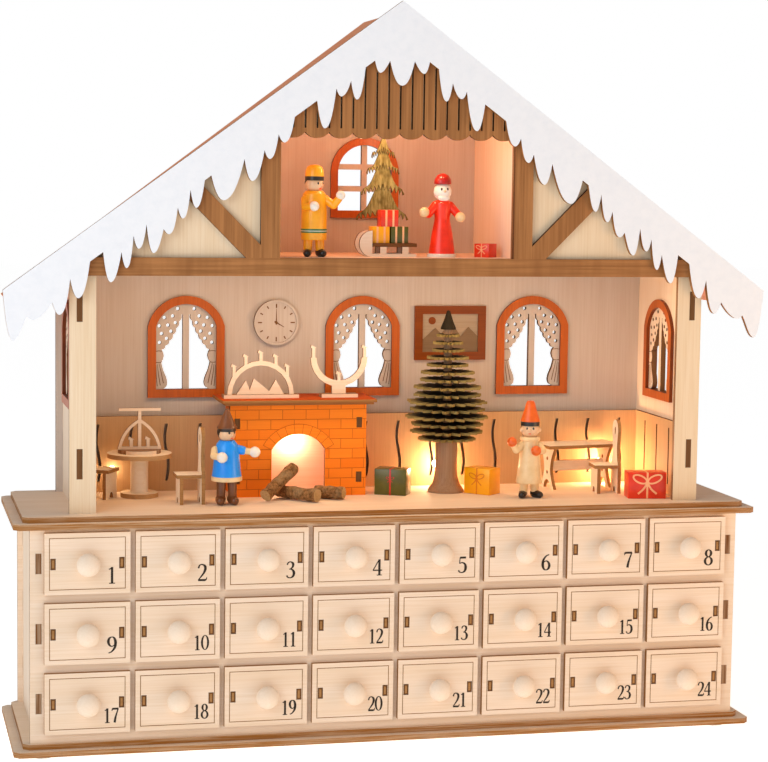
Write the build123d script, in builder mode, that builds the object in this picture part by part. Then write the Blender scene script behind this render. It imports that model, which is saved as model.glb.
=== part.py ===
from build123d import *
import os
from math import atan2, cos, degrees, pi, radians, sin, tan

# Wooden advent calendar: a gabled house, open at the front, on a chest of small drawers.
# Millimetres. +X is right, +Y is the back, +Z is up.
# The origin is on the table, under the middle of the calendar.

os.makedirs("parts", exist_ok=True)

# Sheet stock and fits
board = 3.0              # plywood of the chest, the house and the roof
thin_board = 2.0         # plywood of the trim and the furniture
tenon_fit = 0.1          # gap on each side of a tenon in its slot
turning_sides = 10       # flat sides of the small turned pieces
disc_sides = 24          # flat sides of the discs

# Drawers
drawer_columns = 8
drawer_rows = 3
front_width = 45.2
front_height = 32.8
column_gap = 2.8         # between neighbouring fronts
row_gap = 4.7
side_inset = 3.3         # from a front's edge to the outside of the drawer box
front_overlap = 2.2      # how far a front covers the frame above and below its opening
drawer_board = 2.5
drawer_depth = 85.0      # length of the box behind the front
side_play = 0.6
top_play = 1.4
front_tenon = 5.8        # height of the tenon ends that show on a front
knob_diameter = 13.0
knob_neck = 7.0
knob_rim = 5.5           # distance of the widest ring from the front
knob_reach = 9.0         # distance of the knob's tip from the front
knob_tip = 6.0           # flat end of the knob

# Chest
end_stile = 7.3          # frame beside the outer fronts
bottom_rail = 4.8
top_rail = 2.4
chest_depth = 96.2
chest_tenon = 10.7
side_overhang = 3.0      # how far the face frame and the back reach past the end panels
foot_diameter = 14.0
foot_height = 3.0
foot_inset = 9.0         # from the plinth's edge to the foot's edge
lip_side = 8.8           # cornice and plinth boards, past the chest
lip_front = 7.0
lip_back = 2.8
step_side = 3.7          # stage and step boards, past the chest
step_front = 2.4
corner_cut = 3.0         # cut-off corners of the four boards

# House
house_setback = 7.5      # from the chest's face to the house front
house_depth = 84.8
house_half = 176.6
post_width = 14.1
wall_inset = 3.9
wall_tenon = 16.0
wall_tenon_low = 26.5    # middle of the lower tenon above the floor
wall_tenon_drop = 16.3   # middle of the upper tenon below the ceiling
room_height = 126.3
eave_above_room = 4.6    # roof above the room's ceiling at the outer corner
beam_height = 9.7
attic_half = 65.0
attic_head = 10.3        # front panel between the attic opening and the roof, at the opening's corners
attic_reveal = 1.0       # from the attic opening to its side partition

# Roof and snow
roof_pitch = 37.1
eave_reach = 28.4        # roof past the house, measured level
roof_back_reach = 2.7
snow_pitch = 36.2
snow_stand = 5.4         # snow above the roof at the ridge
snow_reach = 6.4         # snow past the roof's eave
middle_icicle = 13.6
middle_icicle_drop = 44.0
middle_cusp_drop = 27.0
icicle_round = 0.24      # half width of an icicle's blunt tip, as a share of the icicle's width
icicle_blunt = 1.2       # height of the tip, as a share of its half width
icicle_end = 0.45        # flat end of the tip, as a share of its width
icicle_flare = 0.05      # hollow of an icicle's sides, as a share of its width

# Icicles from the middle outwards: inner edge, outer edge, depth of the outer cusp, depth of the tip
icicles = [
    (6.8, 15.1, 21.0, 30.0),
    (20.2, 28.1, 22.5, 35.0),
    (28.1, 36.0, 21.0, 27.5),
    (36.0, 46.4, 20.0, 38.0),
    (58.4, 67.0, 23.0, 30.0),
    (67.0, 74.5, 26.0, 33.0),
    (74.5, 85.2, 23.0, 38.0),
    (85.2, 102.8, 19.0, 37.5),
    (106.3, 113.8, 18.5, 30.5),
    (113.8, 120.5, 23.0, 31.0),
    (120.5, 127.9, 29.0, 34.0),
    (127.9, 136.9, 20.0, 38.0),
    (136.9, 143.7, 21.0, 30.0),
    (143.7, 150.0, 25.0, 35.5),
    (150.0, 159.6, 18.0, 37.0),
    (166.4, 176.7, 19.5, 33.0),
    (176.7, 186.0, 25.0, 34.5),
    (186.0, 199.0, 23.0, 28.0),
    (199.0, 211.4, 0.0, 30.5),
]

# Timber overlay
timber_post = 10.5
brace_width = 10.5
brace_foot = 18.5        # from the attic opening to the brace's outer edge on the beam
planks = 10
plank_scallop = 3.2
plank_overlap = 1.8      # scallop cusps below the top of the attic opening
slit_width = 1.0
slit_start = 0.4         # slit ends above the top of the attic opening
slit_top_gap = 5.0

# Windows
window_half = 22.0
window_height = 58.0
window_spring = 40.7
window_sill = 53.0       # bottom of the frame above the floor
window_spacing = 103.0
side_window_back = 37.0  # middle of a side window from the back wall
frame_width = 4.7
mullion = 3.7
drape_width = 6.7        # drape at the sill, past the window frame
drape_bulge = 2.2
tie_width = 3.2          # drape where it is tied
tie_bulge = 1.3
belly_level = 0.17       # heights of the curtain's points, as shares of the clear light's height
tie_low_level = 0.31
tie_level = 0.38
tie_high_level = 0.45
swag_level = 0.64
swag_top_level = 0.85
swag_reach = 0.46        # middle point of a swag, as a share of the way to the tie
attic_window_half = 20.0
attic_window_height = 46.0
attic_window_spring = 27.0
attic_window_sill = 20.0
attic_frame_width = 4.2
muntin = 3.2
pane_rows = 3

# Wainscot and lights
wainscot_height = 43.0
light_channel = 3.3      # gap behind the back wainscot
slot_pitch = 19.4
slot_width = 2.0
slot_low = 6.0
slot_height = 32.5
slot_bow = 1.6
bulb_diameter = 4.0
bulb_length = 5.0
bulb_sides = 8
bulb_height = 13.0       # bulbs on the wainscot above the floor
bulb_places = [-7.5, 2.25, 7.5]   # along the back wainscot, in slot pitches from the middle

# Wall hangings
clock_diameter = 26.0
clock_rim = 1.4
clock_rim_height = 0.6
clock_x = -51.1
clock_height = 95.7      # middle of the clock above the floor
picture_width = 43.0
picture_height = 31.7
picture_x = 52.6
picture_middle = 89.3    # middle of the picture above the floor
picture_frame = 4.7
picture_board = 1.0

# Fireplace
hearth_width = 78.0
hearth_height = 52.0
hearth_depth = 31.5
hearth_share = -0.2616   # place across the room, as a share of its half width
mouth_half = 15.3
mouth_spring = 26.5
mouth_rise = 8.9
hearth_tenon = 5.7
hearth_tenon_inset = 2.6
hearth_tenon_low = 10.5  # middle of the lower tenon above the floor
hearth_tenon_high = 41.5
liner_back = 7.0         # liner's front from the wainscot
mantel_overhang = 5.0
log_diameter = 8.0
log_length = 28.0
log_tilt = 28.0          # rise of the log that leans on the others
log_turn = 40.0
log_gap = 0.2
log_cross = 0.55         # crossing of the logs left of the mouth's middle, in half mouths
log_behind = 0.2         # lower log behind the crossing, as a share of its length
far_log_gap = 2.1        # far log right of the crossing, in log diameters
far_log_turn = -32.0
far_log_share = 0.6      # length of the far log, as a share of the others

# Fir tree on a turned foot, from its radii and heights
tree_share = 0.2563
tree_to_wainscot = 25.0
ring_radii = [18.5, 22.0, 24.0, 23.5, 22.5, 20.5, 18.5, 16.0, 14.0, 12.0, 10.0, 8.0]
ring_teeth = 10
ring_notch = 0.72        # radius between two teeth, as a share of the ring's radius
ring_thickness = 2.2
ring_pitch = 5.3
tree_foot = [(10.4, 0.0), (10.4, 1.6), (6.3, 9.0), (6.3, 30.0)]
tree_dowel = 5.0         # square dowel
tree_fit = 0.1
finial_radius = 4.4
finial_height = 11.0
finial_tip = 0.6

# Round table
table_from_wall = 37.3   # middle of the table from the left side wall
table_to_wainscot = 19.0
table_diameter = 36.0
table_height = 24.7
table_top = 2.5
table_column = 10.5
table_foot = 21.0

# Chairs: two at the table and one at the desk
left_chair_gap = 20.6    # middle of the chair from the middle of the table
left_chair_turn = -30.0
left_chair_back = 25.8   # middle of the chair from the back wall
right_chair_share = -0.6453
right_chair_back = 52.3
desk_chair_gap = 8.5     # middle of the chair from the middle of the desk
desk_chair_back = 45.3
desk_chair_turn = 175.0
chair_width = 15.0
chair_seat = 16.5
chair_depth = 13.5
chair_top = 42.0
chair_waist = 4.6
chair_head = 6.4
chair_front_inset = 1.5
chair_hole = 2.6
leg_notch_half = 2.4     # notch under a leg board
leg_notch_top = 1.5
leg_notch_height = 3.5

# Writing desk
desk_from_wall = 44.7
desk_to_wainscot = 17.0
desk_turn = 8.0
desk_width = 46.0
desk_depth = 22.0
desk_height = 26.0
desk_leg_inset = 5.0
desk_leg_waist = 5.0
desk_notch = 0.3         # notch under a leg board, as a share of its height
desk_rail = 6.0
desk_rail_drop = 8.0     # top of the rail under the desk top

# Gift boxes: width, distance from the front panel, and turn
green_gift = (18.5, 37.5, -28.0)
green_gift_share = 0.0088
yellow_gift = (17.0, 33.0, -20.0)
yellow_gift_gap = 10.5   # from the middle of the tree
red_gift = (21.8, 4.5, -8.0)
red_gift_from_wall = 29.7
gift_depth = 12.0
gift_height = 15.0
attic_gift_gap = 3.5     # from the attic's side partition
attic_gift_size = 13.0
attic_gift_height = 7.7

# Candle arch, crescent and table pyramid
arch_shift = -20.1       # from the middle of the fireplace
arch_half = 19.0
arch_band = 2.6
arch_stretch = 2.4       # foot past the arch on each side
arch_candles = [-0.8, -0.45, 0, 0.45, 0.8]            # places across the arch, in half arches
arch_peaks = [(-0.5, 0.45), (0, 0.75), (0.45, 0.5)]   # place and flank of each hill, in half arches
peak_foot = 0.5          # foot of a hill, in half arches
crescent_shift = 24.9
crescent_radius = 16.5
crescent_band = 3.4
crescent_foot = 21.0
crescent_stem = 4.0      # from the foot to the crescent's lowest point
ornament_foot = 8.0      # depth of an ornament's foot
ornament_base = 2.0
candle_width = 1.8
candle_height = 5.5
flame_height = 3.6
pyramid_width = 24.0
pyramid_arch = 17.0
pyramid_band = 1.6
pyramid_shoulder = 0.6   # height of the arch's middle point, as a share of its height
pyramid_candle = 0.45    # candle's place, as a share of the clear half width
rotor_length = 23.5
rotor_height = 21.5
rotor_bar = 1.6
rotor_post = 1.8

# Figures: place across the room or the attic, and from the front panel
blue_share = -0.5245
blue_depth = 18.5
cream_share = 0.4979
cream_depth = 19.5
mustard_at = (-43.0, 12.5)
red_at = (31.0, 19.5)
arm_diameter = 4.2
arm_sides = 6

# Sled with parcels and the flat fir behind it
sled_x = 3.0
sled_at = 22.0           # middle of the sled from the front panel
sled_length = 25.0
sled_width = 13.0
sled_height = 5.5        # underside of the seat
sled_bar = 1.8
sled_curl = 7.2          # radius of the half discs before the runners
seat_gap = 0.3           # from the half discs to the seat
parcel_gap = 0.4
parcel_width = 9.8
parcel_depth = 9.75
parcel_height = 9.1
parcel_turn = 12.0       # turn of the upper parcel
attic_fir_x = 1.0
attic_fir_at = 39.0
attic_fir_half = 15.0
attic_fir_height = 65.5
attic_fir_trunk = 12.0
attic_fir_tiers = 4
tier_end = 4.6           # tiers to the point where the fir would run out
tier_neck = 0.45         # width under a tier's neighbour, as a share of the tier's own

# Battery box for two small cells in the right-hand gable
battery_length = 47.0
battery_height = 22.0
battery_depth = 13.0
battery_wall = 1.5
battery_flange = 2.0     # flange past the tub
battery_gap = 0.5        # tub from the partition and the attic floor
cover_fit = 0.15
switch_bay = 7.0
switch_width = 3.0
switch_knob = 5.0
switch_travel = 3.0
switch_play = 0.3
switch_plate = 1.5
switch_wing = 0.9        # how far the plate behind the slot passes the knob
switch_reach = 1.5       # knob past the flange

# Places worked out from the driving dimensions
column_pitch = front_width + column_gap
row_pitch = front_height + row_gap
box_width = front_width - 2 * side_inset
box_height = front_height - 2 * front_overlap - top_play
opening_width = box_width + 2 * side_play
opening_height = front_height - 2 * front_overlap
chest_half = (drawer_columns * column_pitch - column_gap) / 2 + end_stile
chest_height = bottom_rail + drawer_rows * row_pitch - row_gap + top_rail
end_outer = chest_half - side_overhang
end_inner = end_outer - board

overall_depth = knob_reach + board + chest_depth + lip_back
face_y = knob_reach - overall_depth / 2
frame_front_y = face_y + board
frame_back_y = frame_front_y + board
chest_back_y = frame_front_y + chest_depth
back_panel_y = chest_back_y - board
chest_middle_y = (frame_back_y + back_panel_y) / 2

plinth_z = foot_height
step_z = plinth_z + board
chest_z = step_z + board
cornice_z = chest_z + chest_height
stage_z = cornice_z + board
floor_z = stage_z + board
first_row_z = chest_z + bottom_rail
row_levels = [first_row_z + row * row_pitch for row in range(drawer_rows)]
shelf_levels = [level + front_overlap for level in row_levels]
row_middles = [level + front_height / 2 for level in row_levels]
drawers_middle_z = sum(row_middles) / drawer_rows

panel_front_y = frame_front_y + house_setback
panel_back_y = panel_front_y + board
timber_front_y = panel_front_y - board
house_back_y = panel_front_y + house_depth
back_wall_y = house_back_y - board
wall_outer = house_half - wall_inset
wall_inner = wall_outer - board
side_middle_y = (panel_back_y + back_wall_y) / 2
ceiling_z = floor_z + room_height
attic_z = ceiling_z + beam_height
slope = tan(radians(roof_pitch))
ridge_under_z = ceiling_z + eave_above_room + house_half * slope
attic_top_z = ridge_under_z - attic_half * slope - attic_head
ridge_top_z = ridge_under_z + board / cos(radians(roof_pitch))
snow_peak_z = ridge_top_z + snow_stand
wainscot_back_y = back_wall_y - light_channel
wainscot_y = wainscot_back_y - thin_board
window_z = floor_z + window_sill
attic_window_z = attic_z + attic_window_sill
side_window_y = back_wall_y - side_window_back
partition_x = attic_half + attic_reveal


def roof_line(x):
    """Height of the roof's underside at a distance from the middle."""
    return ridge_under_z - abs(x) * slope


def upright(y):
    """Sketch plane that faces the viewer; extrusions grow from y towards the front."""
    return Plane.XZ.offset(-y)


def save_group(name, *pieces):
    """Write several separate pieces as one node."""
    group = Compound(children=list(pieces))
    group.label = name
    export_step(group, f"parts/{name}.step")


def block(size, corner, turn=0):
    """Box on its bottom left front corner, turned about its own middle."""
    middle = Vector(*corner) + Vector(*size) / 2
    with BuildPart(Plane(Location(middle, (0, 0, turn)))) as piece:
        Box(*size)
    return piece.part


def tapered(radius, narrowing, length, sides):
    """Many-sided stretch of a turned piece, standing on its wide end at the origin."""
    with BuildPart() as stretch:
        with BuildSketch():
            RegularPolygon(radius, sides)
        extrude(amount=length, taper=degrees(atan2(narrowing, length)))
    return stretch.part


def turned(place, *outline, sides):
    """Turned piece with flat sides along a plane's normal, from its radii and heights."""
    with BuildPart() as piece:
        for (low_radius, low), (high_radius, high) in zip(outline, outline[1:]):
            narrowing = abs(high_radius - low_radius) * cos(pi / sides)
            stretch = tapered(max(low_radius, high_radius), narrowing, high - low, sides)
            spot = Location((0, 0, high), (180, 0, 0)) if high_radius > low_radius else Location((0, 0, low))
            add(stretch.moved(place.location * spot))
    return piece.part


def arched(half, base, top, spring):
    """Window outline: a square foot under a round head."""
    with BuildSketch() as outline:
        with BuildLine():
            Polyline((-half, spring), (-half, base), (half, base), (half, spring))
            ThreePointArc((half, spring), (0, top), (-half, spring))
        make_face()
    return outline.sketch


# Feet and the two boards under the chest
plinth_half = chest_half + lip_side
plinth_front_y = frame_front_y - lip_front
plinth_back_y = chest_back_y + lip_back
plinth_middle_y = (plinth_front_y + plinth_back_y) / 2
step_half = chest_half + step_side
step_front_y = frame_front_y - step_front
foot_from_edge = foot_inset + foot_diameter / 2
foot_span_x = 2 * (plinth_half - foot_from_edge)
foot_span_y = plinth_back_y - plinth_front_y - 2 * foot_from_edge

with BuildPart() as feet:
    with BuildSketch(Plane((0, plinth_middle_y, 0))):
        with GridLocations(foot_span_x, foot_span_y, 2, 2):
            RegularPolygon(foot_diameter / 2, turning_sides)
    extrude(amount=foot_height)
feet.part.label = "feet"
export_step(feet.part, "parts/feet.step")


def edge_board(half, front_y, back_y, z):
    """Flat board with its four corners cut off."""
    with BuildPart() as piece:
        with BuildSketch(Plane((0, (front_y + back_y) / 2, z))) as outline:
            Rectangle(2 * half, back_y - front_y)
            chamfer(outline.vertices(), corner_cut)
        extrude(amount=board)
    return piece.part


plinth_board = edge_board(plinth_half, plinth_front_y, plinth_back_y, plinth_z)
step_board = edge_board(step_half, step_front_y, chest_back_y, step_z)
save_group("plinth_boards", plinth_board, step_board)
cornice_board = edge_board(plinth_half, plinth_front_y, plinth_back_y, cornice_z)
stage_board = edge_board(step_half, step_front_y, chest_back_y, stage_z)
save_group("cornice_boards", cornice_board, stage_board)

# Chest: face frame and back panel, slotted for the end panels' tenons
tenon_x = end_outer - board / 2


def chest_panel(back_y, open_front):
    """Panel across the chest, with an opening for every drawer if it is the front."""
    with BuildPart() as piece:
        with BuildSketch(upright(back_y)):
            with Locations((0, chest_z + chest_height / 2)):
                Rectangle(2 * chest_half, chest_height)
            with Locations((0, drawers_middle_z)):
                with GridLocations(2 * tenon_x, row_pitch, 2, drawer_rows):
                    Rectangle(board + 2 * tenon_fit, chest_tenon + 2 * tenon_fit, mode=Mode.SUBTRACT)
                if open_front:
                    with GridLocations(column_pitch, row_pitch, drawer_columns, drawer_rows):
                        Rectangle(opening_width, opening_height, mode=Mode.SUBTRACT)
        extrude(amount=board)
    return piece.part


base_face_frame = chest_panel(frame_back_y, True)
base_face_frame.label = "base_face_frame"
export_step(base_face_frame, "parts/base_face_frame.step")
base_back_panel = chest_panel(chest_back_y, False)
base_back_panel.label = "base_back_panel"
export_step(base_back_panel, "parts/base_back_panel.step")

with BuildPart() as base_end_panels:
    with BuildSketch(Plane.YZ.offset(end_inner)):
        with Locations((chest_middle_y, chest_z + chest_height / 2)):
            Rectangle(back_panel_y - frame_back_y, chest_height)
        with Locations((chest_middle_y, drawers_middle_z)):
            with GridLocations(1, row_pitch, 1, drawer_rows):
                Rectangle(chest_depth, chest_tenon)
    extrude(amount=board)
    mirror(about=Plane.YZ)
base_end_panels.part.label = "base_end_panels"
export_step(base_end_panels.part, "parts/base_end_panels.step")

# Drawer shelves and dividers, halved into each other
inner_depth = back_panel_y - frame_back_y
divider_places = [(gap - drawer_columns / 2) * column_pitch for gap in range(1, drawer_columns)]
halving_width = board + 2 * tenon_fit
halving_length = inner_depth / 2 + tenon_fit

with BuildPart() as drawer_shelves:
    with BuildSketch(*(Plane((0, chest_middle_y, level - board)) for level in shelf_levels)):
        Rectangle(2 * end_inner, inner_depth)
        with Locations(*((x, -inner_depth / 2) for x in divider_places)):
            Rectangle(halving_width, 2 * halving_length, mode=Mode.SUBTRACT)
    extrude(amount=board)
drawer_shelves.part.label = "drawer_shelves"
export_step(drawer_shelves.part, "parts/drawer_shelves.step")

with BuildPart() as drawer_dividers:
    with BuildSketch(*(Plane.YZ.offset(x - board / 2) for x in divider_places)):
        with Locations((chest_middle_y, chest_z + chest_height / 2)):
            Rectangle(inner_depth, chest_height)
        with Locations(*((back_panel_y, level - board / 2) for level in shelf_levels)):
            Rectangle(2 * halving_length, halving_width, mode=Mode.SUBTRACT)
    extrude(amount=board)
drawer_dividers.part.label = "drawer_dividers"
export_step(drawer_dividers.part, "parts/drawer_dividers.step")

# One drawer, with its front's bottom middle at the origin and its face on y = 0
tenon_offset = (box_width - drawer_board) / 2
box_back_y = board + drawer_depth

with BuildPart() as drawer_front:
    with BuildSketch(upright(board)):
        with Locations((0, front_height / 2)):
            Rectangle(front_width, front_height)
            with GridLocations(2 * tenon_offset, 1, 2, 1):
                Rectangle(drawer_board + 2 * tenon_fit, front_tenon + 2 * tenon_fit, mode=Mode.SUBTRACT)
    extrude(amount=board)

with BuildPart() as drawer_sides:
    with BuildSketch(Plane.YZ.offset(box_width / 2 - drawer_board)):
        with Locations((board + drawer_depth / 2, front_overlap + box_height / 2)):
            Rectangle(drawer_depth, box_height)
        with Locations((box_back_y / 2, front_height / 2)):
            Rectangle(box_back_y, front_tenon)
    extrude(amount=drawer_board)
    mirror(about=Plane.YZ)

inside_width = box_width - 2 * drawer_board
drawer_back = block((inside_width, drawer_board, box_height),
                    (-inside_width / 2, box_back_y - drawer_board, front_overlap))
drawer_bottom = block((inside_width, drawer_depth - drawer_board, drawer_board),
                      (-inside_width / 2, board, front_overlap))

knob_place = Plane((0, 0, front_height / 2), x_dir=(1, 0, 0), z_dir=(0, -1, 0))
knob_outline = [(knob_neck / 2, 0), (knob_diameter / 2, knob_rim), (knob_tip / 2, knob_reach)]
drawer_knob = turned(knob_place, *knob_outline, sides=turning_sides)

drawer_pieces = [drawer_front.part, drawer_back, drawer_bottom, drawer_knob]
drawer_pieces += drawer_sides.part.solids()
for row in range(drawer_rows):
    for column in range(drawer_columns):
        number = row * drawer_columns + column + 1
        x = (column - (drawer_columns - 1) / 2) * column_pitch
        place = Location((x, face_y, row_levels[drawer_rows - 1 - row]))
        save_group(f"drawer_{number:02d}", *(piece.moved(place) for piece in drawer_pieces))


# House: gable panels, slotted for the side walls' tenons
wall_middle_x = wall_outer - board / 2
wall_tenon_high = room_height - wall_tenon_drop
tenon_middle_z = floor_z + (wall_tenon_low + wall_tenon_high) / 2
tenon_span_z = wall_tenon_high - wall_tenon_low

with BuildSketch() as gable:
    with BuildLine():
        Polyline((-house_half, floor_z), (house_half, floor_z), (house_half, roof_line(house_half)),
                 (0, ridge_under_z), (-house_half, roof_line(house_half)), close=True)
    make_face()

with BuildSketch() as wall_slots:
    with Locations((0, tenon_middle_z)):
        with GridLocations(2 * wall_middle_x, tenon_span_z, 2, 2):
            Rectangle(board + 2 * tenon_fit, wall_tenon + 2 * tenon_fit)

with BuildPart() as house_front_panel:
    with BuildSketch(upright(panel_back_y)):
        add(gable.sketch)
        with Locations((0, floor_z + room_height / 2)):
            Rectangle(2 * (house_half - post_width), room_height, mode=Mode.SUBTRACT)
        with Locations((0, (attic_z + attic_top_z) / 2)):
            Rectangle(2 * attic_half, attic_top_z - attic_z, mode=Mode.SUBTRACT)
        add(wall_slots.sketch, mode=Mode.SUBTRACT)
    extrude(amount=board)
house_front_panel.part.label = "house_front_panel"
export_step(house_front_panel.part, "parts/house_front_panel.step")

# Clear halves of a curtained window, from the middle of its sill: swags above, tied drapes below
light_half = window_half - frame_width
light_height = window_height - 2 * frame_width
drape_foot = (light_half - drape_width, 0)
drape_belly = (light_half - drape_width + drape_bulge, belly_level * light_height)
tie_low = (light_half - tie_width, tie_low_level * light_height)
tie_middle = (light_half - tie_width - tie_bulge, tie_level * light_height)
tie_high = (light_half - tie_width, tie_high_level * light_height)
swag_middle = (swag_reach * (light_half - tie_width), swag_level * light_height)
swag_top = (mullion / 2, swag_top_level * light_height)

with BuildSketch() as curtain_lights:
    with BuildLine():
        Polyline(swag_top, (mullion / 2, 0), drape_foot)
        ThreePointArc(drape_foot, drape_belly, tie_low)
        ThreePointArc(tie_low, tie_middle, tie_high)
        ThreePointArc(tie_high, swag_middle, swag_top)
    make_face()
    mirror(about=Plane.YZ)

with BuildSketch() as window_ring:
    add(arched(window_half, 0, window_height, window_spring))
    add(arched(light_half, frame_width, window_height - frame_width, window_spring), mode=Mode.SUBTRACT)

# Panes of the attic window, from the middle of its frame's foot
pane_half = attic_window_half - attic_frame_width
pane_top = attic_window_height - attic_frame_width
pane_height = pane_top - attic_frame_width

with BuildSketch() as attic_panes:
    add(arched(pane_half, attic_frame_width, pane_top, attic_window_spring))
    with Locations((0, attic_frame_width + pane_height / 2)):
        Rectangle(muntin, pane_height, mode=Mode.SUBTRACT)
        with GridLocations(1, pane_height / pane_rows, 1, pane_rows - 1):
            Rectangle(2 * pane_half, muntin, mode=Mode.SUBTRACT)

with BuildSketch() as attic_ring:
    add(arched(attic_window_half, 0, attic_window_height, attic_window_spring))
    add(arched(pane_half, attic_frame_width, pane_top, attic_window_spring), mode=Mode.SUBTRACT)

window_places = [(x, window_z) for x in (-window_spacing, 0, window_spacing)]
light_places = [(x, z + frame_width) for x, z in window_places]
tub_width = battery_length + switch_bay + 3 * battery_wall
tub_height = battery_height + 2 * battery_wall
tub_x = partition_x + board + battery_gap
tub_z = attic_z + battery_gap
tub_middle = (tub_x + tub_width / 2, tub_z + tub_height / 2)

with BuildPart() as house_back_wall:
    with BuildSketch(upright(house_back_y)):
        add(gable.sketch)
        add(wall_slots.sketch, mode=Mode.SUBTRACT)
        with Locations(*light_places):
            add(curtain_lights.sketch, mode=Mode.SUBTRACT)
        with Locations((0, attic_window_z)):
            add(attic_panes.sketch, mode=Mode.SUBTRACT)
        with Locations(tub_middle):
            Rectangle(tub_width + 2 * tenon_fit, tub_height + 2 * tenon_fit, mode=Mode.SUBTRACT)
    extrude(amount=board)
house_back_wall.part.label = "house_back_wall"
export_step(house_back_wall.part, "parts/house_back_wall.step")

with BuildPart() as house_side_walls:
    with BuildSketch(Plane.YZ.offset(wall_inner)):
        wall_top = roof_line(wall_outer)
        with Locations((side_middle_y, (floor_z + wall_top) / 2)):
            Rectangle(back_wall_y - panel_back_y, wall_top - floor_z)
        with Locations((side_middle_y, tenon_middle_z)):
            with GridLocations(1, tenon_span_z, 1, 2):
                Rectangle(house_depth, wall_tenon)
        with Locations((side_window_y, window_z + frame_width)):
            add(curtain_lights.sketch, mode=Mode.SUBTRACT)
    extrude(amount=board)
    mirror(about=Plane.YZ)
house_side_walls.part.label = "house_side_walls"
export_step(house_side_walls.part, "parts/house_side_walls.step")

with BuildPart() as window_frames:
    with BuildSketch(upright(back_wall_y)):
        with Locations(*window_places):
            add(window_ring.sketch)
        with Locations((0, attic_window_z)):
            add(attic_ring.sketch)
    extrude(amount=thin_board)
    with BuildSketch(Plane.YZ.offset(wall_outer), Plane.YZ.offset(wall_inner - thin_board)):
        with Locations((side_window_y, window_z)):
            add(window_ring.sketch)
    extrude(amount=thin_board)
    with BuildSketch(Plane.YZ.offset(-wall_inner), Plane.YZ.offset(-wall_outer - thin_board)):
        with Locations((side_window_y, window_z)):
            add(window_ring.sketch)
    extrude(amount=thin_board)
window_frames.part.label = "window_frames"
export_step(window_frames.part, "parts/window_frames.step")

# Attic floor and the two partitions beside the attic room
attic_floor = block((2 * wall_inner, back_wall_y - panel_back_y, board),
                    (-wall_inner, panel_back_y, attic_z - board))
attic_floor.label = "attic_floor"
export_step(attic_floor, "parts/attic_floor.step")

with BuildPart() as attic_partitions:
    with BuildSketch(Plane.YZ.offset(partition_x)):
        partition_top = roof_line(partition_x + board)
        with Locations((side_middle_y, (attic_z + partition_top) / 2)):
            Rectangle(back_wall_y - panel_back_y, partition_top - attic_z)
    extrude(amount=board)
    mirror(about=Plane.YZ)
attic_partitions.part.label = "attic_partitions"
export_step(attic_partitions.part, "parts/attic_partitions.step")

# Roof panels, mitred at the ridge
eave_x = house_half + eave_reach
eave_z = roof_line(eave_x)
eave_corner = (eave_x + board * sin(radians(roof_pitch)), eave_z + board * cos(radians(roof_pitch)))
roof_back_y = house_back_y + roof_back_reach

with BuildPart() as roof_panel:
    with BuildSketch(upright(roof_back_y)):
        with BuildLine():
            Polyline((0, ridge_under_z), (eave_x, eave_z), eave_corner, (0, ridge_top_z), close=True)
        make_face()
    extrude(amount=roof_back_y - timber_front_y)
save_group("roof_panels", roof_panel.part, mirror(roof_panel.part, about=Plane.YZ))

# Timber overlay: beam, posts, braces and a planked gable with scalloped ends
plank_pitch = 2 * attic_half / planks
plank_z = attic_top_z - plank_overlap
brace_level = brace_width / cos(radians(45))
brace_x = attic_half + brace_foot
post_x = attic_half + timber_post / 2

with BuildPart() as timber_frame:
    with BuildSketch(upright(panel_front_y)):
        with Locations((0, ceiling_z + beam_height / 2)):
            Rectangle(2 * house_half, beam_height)
        with Locations((post_x, attic_z)):
            Rectangle(timber_post, ridge_under_z - attic_z, align=(Align.CENTER, Align.MIN))
        with BuildLine():
            Polyline((brace_x, attic_z), (brace_x + house_half, attic_z + house_half),
                     (brace_x + house_half - brace_level, attic_z + house_half),
                     (brace_x - brace_level, attic_z), close=True)
        make_face()
        mirror(about=Plane.YZ)
        with BuildLine():
            Polyline((-attic_half, plank_z), (-attic_half, ridge_under_z), (attic_half, ridge_under_z),
                     (attic_half, plank_z))
            for plank in range(planks):
                right = attic_half - plank * plank_pitch
                ThreePointArc((right, plank_z), (right - plank_pitch / 2, plank_z - plank_scallop),
                              (right - plank_pitch, plank_z))
        make_face()
        add(gable.sketch, mode=Mode.INTERSECT)
        for slit in range(1, 2 * planks):
            slit_x = slit * plank_pitch / 2 - attic_half
            slit_z = attic_top_z + slit_start
            with Locations((slit_x, slit_z)):
                Rectangle(slit_width, roof_line(slit_x) - slit_top_gap - slit_z,
                          align=(Align.CENTER, Align.MIN), mode=Mode.SUBTRACT)
    extrude(amount=board)
timber_frame.part.label = "timber_frame"
export_step(timber_frame.part, "parts/timber_frame.step")

# Snow bargeboard: a straight upper edge and one smooth curve for every icicle
snow_slope = tan(radians(snow_pitch))
snow_half = eave_x + snow_reach
icicle_stretch = snow_half / icicles[-1][1]


def snow_point(x, drop):
    """Point of the snow at a distance from the middle and a depth under its upper edge."""
    return (x, snow_peak_z - x * snow_slope - drop)


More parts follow.
